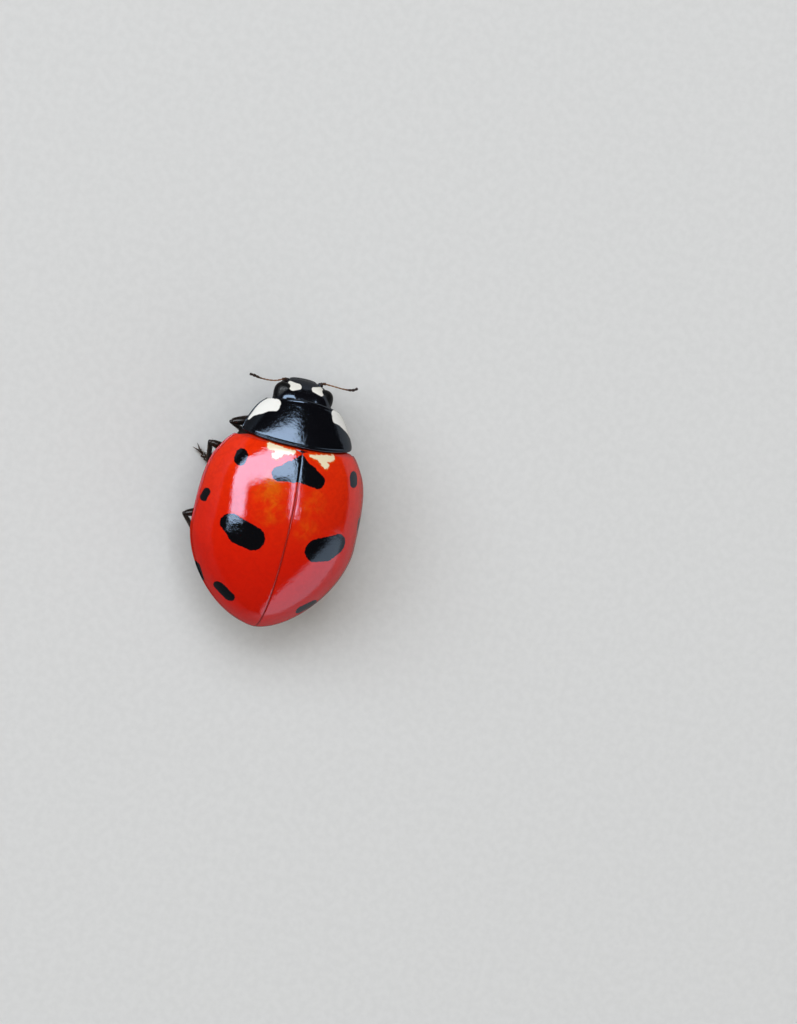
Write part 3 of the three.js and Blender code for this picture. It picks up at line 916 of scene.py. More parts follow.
# how the forms of a leg meet
legFit = {
    "trochanter": {"before": 0.02, "share": 0.1, "girth": 0.95},   # from the hip towards the knee
    "tibia": {"before": 0.03, "drop": 0.03, "girth": 0.95},
    # two padded segments and the long claw segment, by their shares of the foot
    "pads": {"shares": (0.3, 0.56), "drop": 0.02, "heights": (0.055, 0.05), "secondGirth": 1.12},
    "stalk": {"share": 0.8, "rise": 0.02},
    # pairs: how far apart and back they start, how long they are, how they spread and rise
    "spurs": {"apart": 0.04, "back": 0.03, "length": 0.11, "spread": 0.03, "rise": 0, "girth": 1},
    "claws": {"apart": 0.018, "back": 0.01, "length": 0.12, "spread": 0.045, "rise": 0.014,
              "girth": 0.9},
}


def makePair(form, fit, place, forward):
    # two small spines side by side at the end of a leg's piece
    across = forward.cross(upright).normalized()
    pair = []
    for sign in (1, -1):
        start = place + across * sign * fit["apart"] - forward * fit["back"]
        end = start + forward * fit["length"] + across * sign * fit["spread"] + upright * fit["rise"]
        pair.append(placed(form, "spine", start, end, fit["girth"]))
    return pair


def makeLeg(forms, name, joints):
    root, hip, knee, ankle, toe = (Vector(p) for p in joints)
    pieces = {}
    coxa = placed(forms["coxa"], "coxa", root, hip)
    fit = legFit["trochanter"]
    femurStart = mix(hip, knee, fit["share"])
    trochanter = placed(forms["trochanter"], "trochanter", hip - (knee - hip) * fit["before"],
                        femurStart, fit["girth"])
    pieces["coxa"] = joinPieces([coxa, trochanter], name + "Coxa")
    pieces["femur"] = placed(forms["femur"], name + "Femur", femurStart, knee)
    fit = legFit["tibia"]
    tibiaStart = mix(knee, ankle, -fit["before"]) - upright * fit["drop"]
    tibia = placed(forms["tibia"], "tibia", tibiaStart, ankle, fit["girth"])
    spurs = makePair(forms["spur"], legFit["spurs"], ankle, (ankle - knee).normalized())
    pieces["tibia"] = joinPieces([tibia, *spurs], name + "Tibia")
    fit = legFit["pads"]
    first, second = (mix(ankle, toe, share) for share in fit["shares"])
    first.z = max(first.z - fit["drop"], fit["heights"][0])
    second.z = fit["heights"][1]
    stalkStart = mix(first, second, legFit["stalk"]["share"]) + upright * legFit["stalk"]["rise"]
    parts = [placed(forms["pad"], "pad0", ankle - upright * fit["drop"], first),
             placed(forms["pad"], "pad1", first, second, fit["secondGirth"]),
             placed(forms["stalk"], "stalk", stalkStart, toe)]
    pieces["tarsus"] = joinPieces(parts, name + "Tarsus")
    claws = makePair(forms["claw"], legFit["claws"], toe, (toe - second).normalized())
    pieces["claws"] = joinPieces(claws, name + "Claws")
    for piece in pieces.values():
        smooth(piece)
    return pieces


bristles = {
    "length": 0.055, "girth": 0.0035, "lengthRange": (0.7, 1.25), "liftRange": (0.7, 1.3),
    "jitter": 0.2,
    # rows round, bristles in each, how far out they stand, and the leg's girth there
    "tibia": {"from": 0.1, "rows": 26, "around": 9, "lift": 0.5, "girths": (0.045, 0.062)},
    "tarsus": {"drop": 0.03, "to": 0.9, "rows": 10, "around": 8, "lift": 0.7, "girths": (0.034, 0.042)},
    "femur": {"from": 0.25, "to": 0.97, "rows": 12, "around": 5, "lift": 0.4, "girths": (0.085, 0.085)},
    "sunk": 0.9,            # the share of the girth at which they stand
    "bareTop": 0.2,         # the top of a femur has none
    "lowestRoot": 0.02, "lowestTip": 0.006,
    "patch": 0.003, "patchMargin": 0.1,
}


def makeBristleForm():
    # one bristle along X from 0 to 1, slightly bent
    clearSelection()
    bpy.ops.mesh.primitive_cone_add(vertices=3, radius1=1, radius2=0.12, depth=1,
                                    rotation=(0, math.pi / 2, 0), location=(0.5, 0, 0))
    piece = named("bristleForm")
    makeActive(piece)
    editMode()
    pick(piece, "verts", lambda v: v.co.x > 0.9)
    bpy.ops.transform.translate(value=(0, 0, -0.6))
    objectMode()
    return piece


def makeBristles(form, name, joints, seed):
    # short stiff hairs down each leg, every one with its own patch on the leg's unwrap
    hip, knee, ankle, toe = (Vector(p) for p in joints[1:])
    femur, tibia, tarsus = bristles["femur"], bristles["tibia"], bristles["tarsus"]
    spans = {"femur": (mix(hip, knee, femur["from"]), mix(hip, knee, femur["to"])),
             "tibia": (mix(knee, ankle, tibia["from"]), ankle),
             "tarsus": (ankle - upright * tarsus["drop"], mix(ankle, toe, tarsus["to"]))}
    jitter, margin, patch = bristles["jitter"], bristles["patchMargin"], bristles["patch"]
    chance = random.Random(seed)
    base = [v.co.copy() for v in form.data.vertices]
    faces = [list(f.vertices) for f in form.data.polygons]
    points, polygons, corners = [], [], []
    for band, (part, (start, end)) in enumerate(spans.items()):
        setting = bristles[part]
        along = (end - start).normalized()
        side = along.cross(upright).normalized()
        top = side.cross(along).normalized()
        for row in range(setting["rows"]):
            for k in range(setting["around"]):
                t = (row + chance.random()) / setting["rows"]
                turn = (k + 0.5 * (row % 2) + chance.uniform(-jitter, jitter)) / setting["around"]
                angle = turn * math.tau
                out = side * math.cos(angle) + top * math.sin(angle)
                if part == "femur" and out.z > bristles["bareTop"]:
                    continue
                girth = mix(*setting["girths"], t) * bristles["sunk"]
                place = mix(start, end, t) + out * girth
                if place.z < bristles["lowestRoot"]:
                    continue
                lift = setting["lift"] * chance.uniform(*bristles["liftRange"])
                lean = (along + out * lift).normalized()
                across = out.cross(lean).normalized()
                up = lean.cross(across)
                length = bristles["length"] * chance.uniform(*bristles["lengthRange"])
                first = len(points)
                for x, y, z in base:
                    point = place + lean * x * length + (across * y + up * z) * bristles["girth"]
                    point.z = max(point.z, bristles["lowestTip"])
                    points.append(point)
                patchX = margin + (1 - 2 * margin) * t
                patchY = (band + margin + (1 - 2 * margin) * (turn % 1)) / len(spans)
                for face in faces:
                    polygons.append([first + i for i in face])
                    for i in face:
                        corners.append((patchX + base[i].x * patch, patchY + base[i].y * patch / 2))
    mesh = bpy.data.meshes.new(name)
    mesh.from_pydata(points, [], polygons)
    unwrap = mesh.uv_layers.new(name="OFBake")
    for spot, corner in zip(unwrap.data, corners):
        spot.uv = corner
    piece = bpy.data.objects.new(name, mesh)
    bpy.context.scene.collection.objects.link(piece)
    smooth(piece, 60)
    return piece


def wire(tree, made, inputs):
    # links or sets each input, given by its number or its name
    for key, value in inputs.items():
        socket = made.inputs[key]
        if isinstance(value, bpy.types.NodeSocket):
            tree.links.new(value, socket)
        else:
            socket.default_value = value
    return made


def maths(tree, operation, a, b=0.0, clamp=False):
    made = tree.nodes.new("ShaderNodeMath")
    made.operation, made.use_clamp = operation, clamp
    return wire(tree, made, {0: a, 1: b}).outputs[0]


def vectorMaths(tree, operation, a, b=(0, 0, 0), output=0):
    made = tree.nodes.new("ShaderNodeVectorMath")
    made.operation = operation
    return wire(tree, made, {0: a, 1: b}).outputs[output]


def blend(tree, factor, a, b):
    made = tree.nodes.new("ShaderNodeMix")
    made.data_type = "RGBA"
    return wire(tree, made, {0: factor, 6: a, 7: b}).outputs[2]


def ranged(tree, value, low, high, toLow=0.0, toHigh=1.0):
    made = tree.nodes.new("ShaderNodeMapRange")
    made.interpolation_type = "SMOOTHSTEP"
    return wire(tree, made, {"Value": value, "From Min": low, "From Max": high,
                             "To Min": toLow, "To Max": toHigh}).outputs["Result"]


def noiseAt(tree, place, scale, detail, roughness=0.5, distortion=0.0):
    made = tree.nodes.new("ShaderNodeTexNoise")
    return wire(tree, made, {"Vector": place, "Scale": scale, "Detail": detail,
                             "Roughness": roughness, "Distortion": distortion}).outputs["Fac"]


def attributeValue(tree, name):
    made = tree.nodes.new("ShaderNodeAttribute")
    made.attribute_name = name
    return made.outputs["Fac"]


def colour(hexCode):
    parts = [int(hexCode[i:i + 2], 16) / 255 for i in (0, 2, 4)]
    linear = [c / 12.92 if c <= 0.04045 else ((c + 0.055) / 1.055) ** 2.4 for c in parts]
    return (*linear, 1.0)


def newGroup(name, inputs, outputs):
    tree = bpy.data.node_groups.new(name, "ShaderNodeTree")
    for label, kind in inputs.items():
        tree.interface.new_socket(name=label, in_out="INPUT", socket_type=kind)
    for label, kind in outputs.items():
        tree.interface.new_socket(name=label, in_out="OUTPUT", socket_type=kind)
    return tree, tree.nodes.new("NodeGroupInput").outputs, tree.nodes.new("NodeGroupOutput").inputs


def useGroup(tree, group, inputs, output):
    made = tree.nodes.new("ShaderNodeGroup")
    made.node_tree = group
    return wire(tree, made, inputs).outputs[output]


def makeSpotGroup():
    # how far inside a rounded spot a place is: the spot runs from one point to another,
    # with its own radius at each end
    tree, given, out = newGroup("taperedSpot", {
        "Place": "NodeSocketVector", "Start": "NodeSocketVector", "End": "NodeSocketVector",
        "Start Radius": "NodeSocketFloat", "End Radius": "NodeSocketFloat"},
        {"Inside": "NodeSocketFloat"})
    line = vectorMaths(tree, "SUBTRACT", given["End"], given["Start"])
    away = vectorMaths(tree, "SUBTRACT", given["Place"], given["Start"])
    share = maths(tree, "DIVIDE", vectorMaths(tree, "DOT_PRODUCT", away, line, "Value"),
                  vectorMaths(tree, "DOT_PRODUCT", line, line, "Value"), clamp=True)
    scaled = tree.nodes.new("ShaderNodeVectorMath")
    scaled.operation = "SCALE"
    wire(tree, scaled, {0: line, "Scale": share})
    gapLength = vectorMaths(tree, "DISTANCE", away, scaled.outputs[0], "Value")
    growth = maths(tree, "SUBTRACT", given["End Radius"], given["Start Radius"])
    radius = maths(tree, "ADD", given["Start Radius"], maths(tree, "MULTIPLY", growth, share))
    tree.links.new(maths(tree, "SUBTRACT", radius, gapLength), out["Inside"])
    return tree


# what the shared finishes are made of; each noise is its scale, detail and roughness
finish = {
    "pitRandomness": 0.85, "ripple": (9.0, 4.0, 0.6),
    "patches": (1.6, 3.0), "specks": (26.0, 2.0), "speckRange": (0.6, 0.75),
    "broadEdge": (4.0, 1.0), "narrowEdge": (16.0, 3.0),
}


def makePunctureGroup():
    # fine pits scattered over a surface, with a faint unevenness between them
    tree, given, out = newGroup("finePunctures", {
        "Place": "NodeSocketVector", "Per Millimetre": "NodeSocketFloat",
        "Pit Size": "NodeSocketFloat", "Unevenness": "NodeSocketFloat"},
        {"Height": "NodeSocketFloat"})
    cells = tree.nodes.new("ShaderNodeTexVoronoi")
    wire(tree, cells, {"Vector": given["Place"], "Scale": given["Per Millimetre"],
                       "Randomness": finish["pitRandomness"]})
    pits = ranged(tree, cells.outputs["Distance"], 0.0, given["Pit Size"], 1.0, 0.0)
    ripple = noiseAt(tree, given["Place"], *finish["ripple"])
    ripple = maths(tree, "MULTIPLY", ripple, given["Unevenness"])
    tree.links.new(maths(tree, "SUBTRACT", ripple, pits), out["Height"])
    return tree


def makeGlossGroup():
    # patchy gloss: faint dust and handling that changes the roughness
    tree, given, out = newGroup("patchyGloss", {
        "Place": "NodeSocketVector", "Base": "NodeSocketFloat", "Patches": "NodeSocketFloat",
        "Specks": "NodeSocketFloat"}, {"Roughness": "NodeSocketFloat"})
    broad = noiseAt(tree, given["Place"], *finish["patches"])
    broad = maths(tree, "MULTIPLY", broad, given["Patches"])
    fine = ranged(tree, noiseAt(tree, given["Place"], *finish["specks"]), *finish["speckRange"])
    specks = maths(tree, "MULTIPLY", fine, given["Specks"])
    base = maths(tree, "ADD", given["Base"], broad)
    tree.links.new(maths(tree, "ADD", base, specks), out["Roughness"])
    return tree


groups = {"spot": makeSpotGroup(), "punctures": makePunctureGroup(), "gloss": makeGlossGroup()}


def startMaterial(name):
    material = bpy.data.materials.new(name)
    material.use_nodes = True
    tree = material.node_tree
    coordinates = tree.nodes.new("ShaderNodeTexCoord")
    mapping = tree.nodes.new("ShaderNodeMapping")
    scale = 1 / millimetre
    mapping.inputs["Location"].default_value = tuple(-c * scale for c in bodyOrigin)
    mapping.inputs["Scale"].default_value = (scale,) * 3
    tree.links.new(coordinates.outputs["Object"], mapping.inputs["Vector"])
    return material, tree, mapping.outputs["Vector"]


def planOf(tree, place, mirrored=True, depth=0.0):
    # the marks are laid out in plan, and height counts for the given share of its size
    parts = tree.nodes.new("ShaderNodeSeparateXYZ")
    tree.links.new(place, parts.inputs[0])
    x, y, z = parts.outputs
    joined = tree.nodes.new("ShaderNodeCombineXYZ")
    wire(tree, joined, {"X": maths(tree, "ABSOLUTE", x) if mirrored else x, "Y": y,
                        "Z": maths(tree, "MULTIPLY", z, depth)})
    return joined.outputs[0], x, y, z


def spotMask(tree, place, ragged, spots, softness=0.008):
    inside = None
    for start, end, startRadius, endRadius in spots:
        one = useGroup(tree, groups["spot"], {
            "Place": place, "Start": start, "End": end,
            "Start Radius": startRadius, "End Radius": endRadius}, "Inside")
        inside = one if inside is None else maths(tree, "MAXIMUM", inside, one)
    return ranged(tree, maths(tree, "ADD", inside, ragged), -softness, softness)


def raggedEdge(tree, place, coarse, fine):
    # moves the edge of a mark in and out, by two noises of the given depths
    broad = maths(tree, "SUBTRACT", noiseAt(tree, place, *finish["broadEdge"]), 0.5)
    narrow = maths(tree, "SUBTRACT", noiseAt(tree, place, *finish["narrowEdge"]), 0.5)
    broad = maths(tree, "MULTIPLY", broad, coarse)
    narrow = maths(tree, "MULTIPLY", narrow, fine)
    return maths(tree, "ADD", broad, narrow)


# the clear hard gloss of the shell plates, faintly blue where it shines
lacquer = {"IOR": 2.2, "Specular Tint": (0.6, 0.76, 1.0, 1.0)}


def finishMaterial(tree, baseColour, roughness, height, bumpDepth, constants):
    # the bump's depth is in millimetres, and the constants are set on the shader's own sockets
    bump = tree.nodes.new("ShaderNodeBump")
    wire(tree, bump, {"Height": height, "Distance": bumpDepth * millimetre, "Strength": 1.0})
    return wire(tree, tree.nodes["Principled BSDF"], {
        "Base Color": baseColour, "Roughness": roughness, "Normal": bump.outputs["Normal"], **constants})


def pittedFinish(tree, place, body, look):
    pits = useGroup(tree, groups["punctures"], {"Place": place, **look["pits"]}, "Height")
    roughness = useGroup(tree, groups["gloss"], {"Place": place, **look["gloss"]}, "Roughness")
    finishMaterial(tree, body, roughness, pits, look["pitDepth"], look["shine"])


# each mark: the points of its middle line in plan (x, y), with its radius at each
wingMarks = {
    "humeral": [(1.31, 0.41, 0.125), (1.335, 0.52, 0.12)],
    "lateral": [(1.725, 1.37, 0.075), (1.75, 1.53, 0.075)],
    "discal": [(0.72, 2.065, 0.265), (0.98, 2.0, 0.285), (1.19, 1.875, 0.23)],
    "posterior": [(0.8, 3.5, 0.11), (1.07, 3.32, 0.11)],
    "rearEdge": [(1.54, 3.07, 0.11), (1.395, 3.33, 0.1)],
    "scutellar": [(0.0, 0.22, 0.1), (0.16, 0.5, 0.22), (0.43, 0.59, 0.165)],
    "scutellarMiddle": [(0.0, 0.45, 0.22), (0.2, 0.5, 0.22)],
    "creamFront": [(0.2, 0.1, 0.04), (0.45, 0.11, 0.075), (0.7, 0.07, 0.065)],
    "creamTail": [(0.45, 0.13, 0.08), (0.57, 0.25, 0.055)],
}
leftMoves = {"humeral": (-0.075, -0.02)}   # how the left side's own marks lie off the mirrored ones
wingDepth = 0.4   # the share of height that keeps marks from running down the steep sides


def onWing(x, y):
    return (x, y, wingDepth * onDome(abs(x), y).z)


def markLines(points, radii):
    return list(zip(points, points[1:], radii, radii[1:]))


def plainMark(mark):
    return markLines([(x, y, 0) for x, y, _ in mark], [radius for _, _, radius in mark])


def wingLines(names):
    lines = []
    for name in names:
        radii = [radius for _, _, radius in wingMarks[name]]
        for side in sides.values():
            moveX, moveY = leftMoves.get(name, (0, 0)) if side > 0 else (0, 0)
            points = [onWing((x + moveX) * side, y + moveY) for x, y, _ in wingMarks[name]]
            lines += markLines(points, radii)
    return lines


wingLook = {
    # orange towards the shoulders, deeper red behind: from which y to which, and how far that wanders
    "front": "F23202", "rear": "DE1C01", "deepens": (0.6, 3.6), "wander": 1.4,
    # the layers over it, in order, with their strengths; the amber layer is painted glow
    "amberGlow": ("E87206", 1.0), "veins": ("BE1602", 0.26), "rim": ("A01C06", 0.6),
    "seam": ("7E1604", 0.6), "foreEdge": ("7A1606", 0.55), "fringe": ("E8780F", 0.6),
    "cream": ("FBEBC6", 1.0), "black": ("0B0909", 1.0), "under": ("C8500F", 0.7),
    # a mottled amber patch of painted glow on each side, stronger on the left: where it runs, and its
    # radius
    "amberLeft": ((0.55, 0.95), (0.5, 1.35), 0.2), "amberRight": ((-0.4, 1.0), (-0.35, 1.7), 0.1),
    "amberRightShare": 0.5, "amberSoftness": 0.28,
    "mottle": (0.35, 0.65), "vein": (0.35, 0.7), "seamWidth": 0.045,
    "foreEdgeOver": (-0.02, 0.05), "foreEdgeWaver": 0.3,
    # noises, each with its scale, detail, roughness and distortion
    "mottleNoise": (2.6, 3.0, 0.6, 0.5), "veinNoise": (7.0, 3.0, 0.55, 1.0), "wanderNoise": (1.3, 3.0),
    # how far the edges of the marks waver, and how soft they are
    "blackWaver": (0.045, 0.045), "creamWaver": (0.06, 0.09), "amberWaver": (0.4, 0.2),
    "steadier": (0.1, 0.9, 0.4, 1.0),   # less where the side is steep
    "creamSoftness": 0.012, "fringeWidth": 0.02, "fringeSoftness": 0.03,
    "margin": (1.04, 1.08),   # the heights between which the marks stop
    "pits": {"Per Millimetre": 17.0, "Pit Size": 0.24, "Unevenness": 5.0}, "pitDepth": 0.0008,
    "gloss": {"Base": 0.025, "Patches": 0.05, "Specks": 0.05},
    "shine": {**lacquer, "Subsurface Weight": 0.08, "Subsurface Scale": 0.05 * millimetre},
}


# the mask of one patch of painted amber glow
def amberGlowMask(tree, plan, waver, patch):
    start, end, radius = patch
    line = (onWing(*start), onWing(*end), radius, radius)
    return spotMask(tree, plan, waver, [line], wingLook["amberSoftness"])


def makeWingMaterial():
    look = wingLook
    material, tree, place = startMaterial("redWingCase")
    plan, x, y, z = planOf(tree, place, mirrored=False, depth=wingDepth)
    above = ranged(tree, z, *look["margin"])
    masks = {}

    # painted glow: a mottled amber patch on each wing case, fainter on the right
    waver = raggedEdge(tree, place, *look["amberWaver"])
    right = amberGlowMask(tree, plan, waver, look["amberRight"])
    right = maths(tree, "MULTIPLY", right, look["amberRightShare"])
    warm = maths(tree, "MAXIMUM", amberGlowMask(tree, plan, waver, look["amberLeft"]), right)
    mottle = ranged(tree, noiseAt(tree, place, *look["mottleNoise"]), *look["mottle"])
    masks["amberGlow"] = maths(tree, "MULTIPLY", mottle, warm)
    masks["veins"] = ranged(tree, noiseAt(tree, place, *look["veinNoise"]), *look["vein"])
    masks["rim"] = attributeValue(tree, "rim")
    masks["seam"] = ranged(tree, maths(tree, "ABSOLUTE", x), 0.0, look["seamWidth"], 1.0, 0.0)

    # the black marks' edges waver less where the side is steep
    facing = tree.nodes.new("ShaderNodeSeparateXYZ")
    tree.links.new(tree.nodes.new("ShaderNodeNewGeometry").outputs["Normal"], facing.inputs[0])
    level = ranged(tree, maths(tree, "ABSOLUTE", facing.outputs[2]), *look["steadier"])
    waver = maths(tree, "MULTIPLY", raggedEdge(tree, place, *look["blackWaver"]), level)
    fromFront = maths(tree, "ADD", y, maths(tree, "MULTIPLY", waver, look["foreEdgeWaver"]))
    masks["foreEdge"] = ranged(tree, fromFront, *look["foreEdgeOver"], 1.0, 0.0)
    blackLines = wingLines([name for name in wingMarks if not name.startswith("cream")])
    black = spotMask(tree, plan, waver, blackLines)

    creamLines = wingLines(["creamFront", "creamTail"])
    waver = raggedEdge(tree, place, *look["creamWaver"])
    fringeWaver = maths(tree, "ADD", waver, look["fringeWidth"])
    masks["fringe"] = spotMask(tree, plan, fringeWaver, creamLines, look["fringeSoftness"])
    masks["cream"] = spotMask(tree, plan, waver, creamLines, look["creamSoftness"])
    masks["black"] = maths(tree, "MULTIPLY", black, above)
    masks["under"] = maths(tree, "SUBTRACT", 1.0, above)

    wander = maths(tree, "MULTIPLY", noiseAt(tree, place, *look["wanderNoise"]), look["wander"])
    deeper = ranged(tree, maths(tree, "ADD", y, wander), *look["deepens"])
    body = blend(tree, deeper, colour(look["front"]), colour(look["rear"]))
    for name, mask in masks.items():
        code, strength = look[name]
        body = blend(tree, maths(tree, "MULTIPLY", mask, strength), body, colour(code))
    pittedFinish(tree, place, body, look)
    return material


shieldLook = {
    "dark": "060506", "light": "0D0B0C", "grain": 3.0, "patchColour": "F8F6F0",
    # the white patch at each front corner, with a tail along the side
    "patch": [(0.645, -0.83, 0.07), (0.72, -0.765, 0.125), (0.86, -0.745, 0.14), (1.0, -0.62, 0.115),
              (1.12, -0.47, 0.055), (1.17, -0.36, 0.03)],
    "waver": (0.04, 0.015), "softness": 0.007, "above": (1.0, 1.06),
    "pits": {"Per Millimetre": 19.0, "Pit Size": 0.28, "Unevenness": 7.0}, "pitDepth": 0.0008,
    "gloss": {"Base": 0.06, "Patches": 0.07, "Specks": 0.08},
    "shine": lacquer,
}
headLook = {
    "dark": "070607", "light": "100D0F", "grain": 4.0, "patchColour": "F6F2E8",
    "patch": [(0.17, -1.225, 0.052), (0.325, -1.21, 0.085)],   # the cream mark beside each eye
    "waver": (0.03, 0.012), "softness": 0.006, "above": (0.94, 0.97),
    "pits": {"Per Millimetre": 24.0, "Pit Size": 0.3, "Unevenness": 0.8}, "pitDepth": 0.001,
    "gloss": {"Base": 0.09, "Patches": 0.07, "Specks": 0.1},
    "shine": lacquer,
}


rimFade = (0.3, 0.9)   # the rim attribute's values between which a patch stops


def makeBlackMaterial(name, look):
    # glossy black with one pale patch on each side, which stops short of a rim
    material, tree, place = startMaterial(name)
    plan, _, _, z = planOf(tree, place)
    waver = raggedEdge(tree, place, *look["waver"])
    patch = spotMask(tree, plan, waver, plainMark(look["patch"]), look["softness"])
    inner = ranged(tree, attributeValue(tree, "rim"), *rimFade, 1.0, 0.0)
    above = ranged(tree, z, *look["above"])
    shown = maths(tree, "MULTIPLY", maths(tree, "MULTIPLY", patch, inner), above)
    grain = noiseAt(tree, place, look["grain"], 3.0)
    tone = blend(tree, grain, colour(look["dark"]), colour(look["light"]))
    pittedFinish(tree, place, blend(tree, shown, tone, colour(look["patchColour"])), look)
    return material


eyeLook = {
    "dark": "040405", "light": "121015", "perMillimetre": 46.0, "randomness": 0.15, "facet": 0.55,
    "roughness": (0.28, 0.15), "depth": 0.003, "shine": {"IOR": 1.5},
}


def makeEyeMaterial():
    look = eyeLook
    material, tree, place = startMaterial("facetedEye")
    facets = tree.nodes.new("ShaderNodeTexVoronoi")
    wire(tree, facets, {"Vector": place, "Scale": look["perMillimetre"],
                        "Randomness": look["randomness"]})
    bulge = ranged(tree, facets.outputs["Distance"], 0.0, look["facet"], 1.0, 0.0)
    body = blend(tree, bulge, colour(look["dark"]), colour(look["light"]))
    roughness = ranged(tree, bulge, 0.0, 1.0, *look["roughness"])
    finishMaterial(tree, body, roughness, bulge, look["depth"], look["shine"])
    return material


chitins = {
    "legChitin": {"dark": "0D0908", "light": "2A1A12", "roughness": 0.22, "grain": 5.0},
    "mouthChitin": {"dark": "1A0F0A", "light": "4A2A18", "roughness": 0.25, "grain": 7.0},
    "bellyChitin": {"dark": "0C0A0A", "light": "211815", "roughness": 0.3, "grain": 4.0},
    "bristles": {"dark": "3A2618", "light": "8A6A48", "roughness": 0.45, "grain": 12.0},
    "clawChitin": {"dark": "2A160B", "light": "6B3D1C", "roughness": 0.25, "grain": 9.0},
}
# what all of these share
chitinLook = {
    "grainNoise": (4.0, 0.6), "grainRange": (0.3, 0.75), "patches": 0.12, "specks": 0.15,
    "pits": {"Per Millimetre": 26.0, "Pit Size": 0.3, "Unevenness": 1.2}, "pitDepth": 0.002,
    "shine": {"IOR": 1.5, "Coat Weight": 0.5, "Coat Roughness": 0.12},
}


def makeChitinMaterial(name):
    look = {**chitinLook, **chitins[name]}
    material, tree, place = startMaterial(name)
    grain = noiseAt(tree, place, look["grain"], *look["grainNoise"])
    grain = ranged(tree, grain, *look["grainRange"])
    tone = blend(tree, grain, colour(look["dark"]), colour(look["light"]))
    gloss = {"Base": look["roughness"], "Patches": look["patches"], "Specks": look["specks"]}
    pittedFinish(tree, place, tone, {**look, "gloss": gloss})
    return material


feelerLook = {
    # tones along it, from the base to the tip
    "stops": [(0.0, "1C100B"), (0.16, "3A2114"), (0.3, "9A6A3C"), (0.66, "7D5230"), (0.8, "2A1710")],
    "speckle": "24150D", "speckleNoise": (20.0, 3.0), "speckleOver": (0.3, 0.8, 0.0, 0.35),
    "bumpNoise": (30.0, 3.0),
    "gloss": {"Base": 0.3, "Patches": 0.1, "Specks": 0.15}, "depth": 0.003,
}


def makeFeelerMaterial():
    look, stops = feelerLook, feelerLook["stops"]
    material, tree, place = startMaterial("feelerChitin")
    ramp = tree.nodes.new("ShaderNodeValToRGB")
    elements = ramp.color_ramp.elements
    for element, (position, code) in zip(elements, (stops[0], stops[-1])):
        element.position, element.color = position, colour(code)
    for position, code in stops[1:-1]:
        elements.new(position).color = colour(code)
    tree.links.new(attributeValue(tree, "along"), ramp.inputs["Fac"])
    speckle = ranged(tree, noiseAt(tree, place, *look["speckleNoise"]), *look["speckleOver"])
    body = blend(tree, speckle, ramp.outputs["Color"], colour(look["speckle"]))
    roughness = useGroup(tree, groups["gloss"], {"Place": place, **look["gloss"]}, "Roughness")
    finishMaterial(tree, body, roughness, noiseAt(tree, place, *look["bumpNoise"]), look["depth"], {})
    return material


# in metres; the gloss of the shell shows the floor darker than the eye sees it, most on one side
floorLook = {
    "radius": 0.14, "fade": (0.05, 0.13), "dark": "DBDBDA", "light": "DFDFDE",
    "grain": (6000.0, 4.0), "grainRange": (0.3, 0.7),
    "reflectedNear": "8E8C8A", "reflectedFar": "343230", "reflectedOver": (-0.004, 0.004),
    "roughness": (0.75, 0.85), "depth": 0.002,
}


def makeFloorMaterial():
    # pale and matt, fading into the air far from the model so that no edge shows
    look = floorLook
    material = bpy.data.materials.new("paleFloor")
    material.use_nodes = True
    tree = material.node_tree
    place = tree.nodes.new("ShaderNodeTexCoord").outputs["Object"]
    grain = ranged(tree, noiseAt(tree, place, *look["grain"]), *look["grainRange"])
    body = blend(tree, grain, colour(look["dark"]), colour(look["light"]))
    parts = tree.nodes.new("ShaderNodeSeparateXYZ")
    tree.links.new(place, parts.inputs[0])
    across = ranged(tree, parts.outputs[0], *look["reflectedOver"])
    reflected = blend(tree, across, colour(look["reflectedNear"]), colour(look["reflectedFar"]))
    ray = tree.nodes.new("ShaderNodeLightPath")
    body = blend(tree, ray.outputs["Is Glossy Ray"], body, reflected)
    away = vectorMaths(tree, "LENGTH", place, output="Value")
    roughness = ranged(tree, grain, 0.0, 1.0, *look["roughness"])
    surface = finishMaterial(tree, body, roughness, grain, look["depth"], {})
    wire(tree, surface, {"Alpha": ranged(tree, away, *look["fade"], 1.0, 0.0)})
    return material


print("materials")
wingRed = makeWingMaterial()
shieldBlack = makeBlackMaterial("blackShield", shieldLook)
headBlack = makeBlackMaterial("blackHead", headLook)
eyeBlack = makeEyeMaterial()
legBrown = makeChitinMaterial("legChitin")
mouthBrown = makeChitinMaterial("mouthChitin")
bellyBlack = makeChitinMaterial("bellyChitin")
bristleBrown = makeChitinMaterial("bristles")
clawBrown = makeChitinMaterial("clawChitin")
feelerBrown = makeFeelerMaterial()

print("wing cases")
wingLeft = makeWingCase()
wingRight = flipped(wingLeft, "elytronRight")
smooth(wingRight, 40)
settle(wingLeft, wingRed, "red_shell", "elytron_left")
settle(wingRight, wingRed, "red_shell", "elytron_right")

print("pronotum and scutellum")
settle(makePronotum(), shieldBlack, "black_shell", "pronotum")
settle(makeScutellum(), shieldBlack, "black_shell", "scutellum")

print("head")
settle(makeHead(), headBlack, "black_shell", "head")
settle(makeFacePlate("clypeus"), headBlack, "black_shell")
settle(makeFacePlate("labrum"), clawBrown, "black_shell", "labrum")
settle(makeMandibles(), clawBrown, "black_shell")
segmentForm = turnedForm("segment", antenna["segmentRings"], antenna["segmentAround"])
for sideName in sides:
    settle(makeEye(sideName), eyeBlack, "eye", f"eye_{sideName}")
    settle(makePalp(segmentForm, sideName), mouthBrown, "feeler", f"palp_{sideName}")
    settle(makeAntenna(segmentForm, sideName), feelerBrown, "feeler", f"antenna_{sideName}")
    settle(makeSocket(sideName), headBlack, "black_shell")
bpy.data.objects.remove(segmentForm)

print("underside")
settle(makeProthorax(), bellyBlack, "belly", "prothorax")
for nodeName, trunkPiece in makeTrunk().items():
    settle(trunkPiece, bellyBlack, "belly", nodeName)

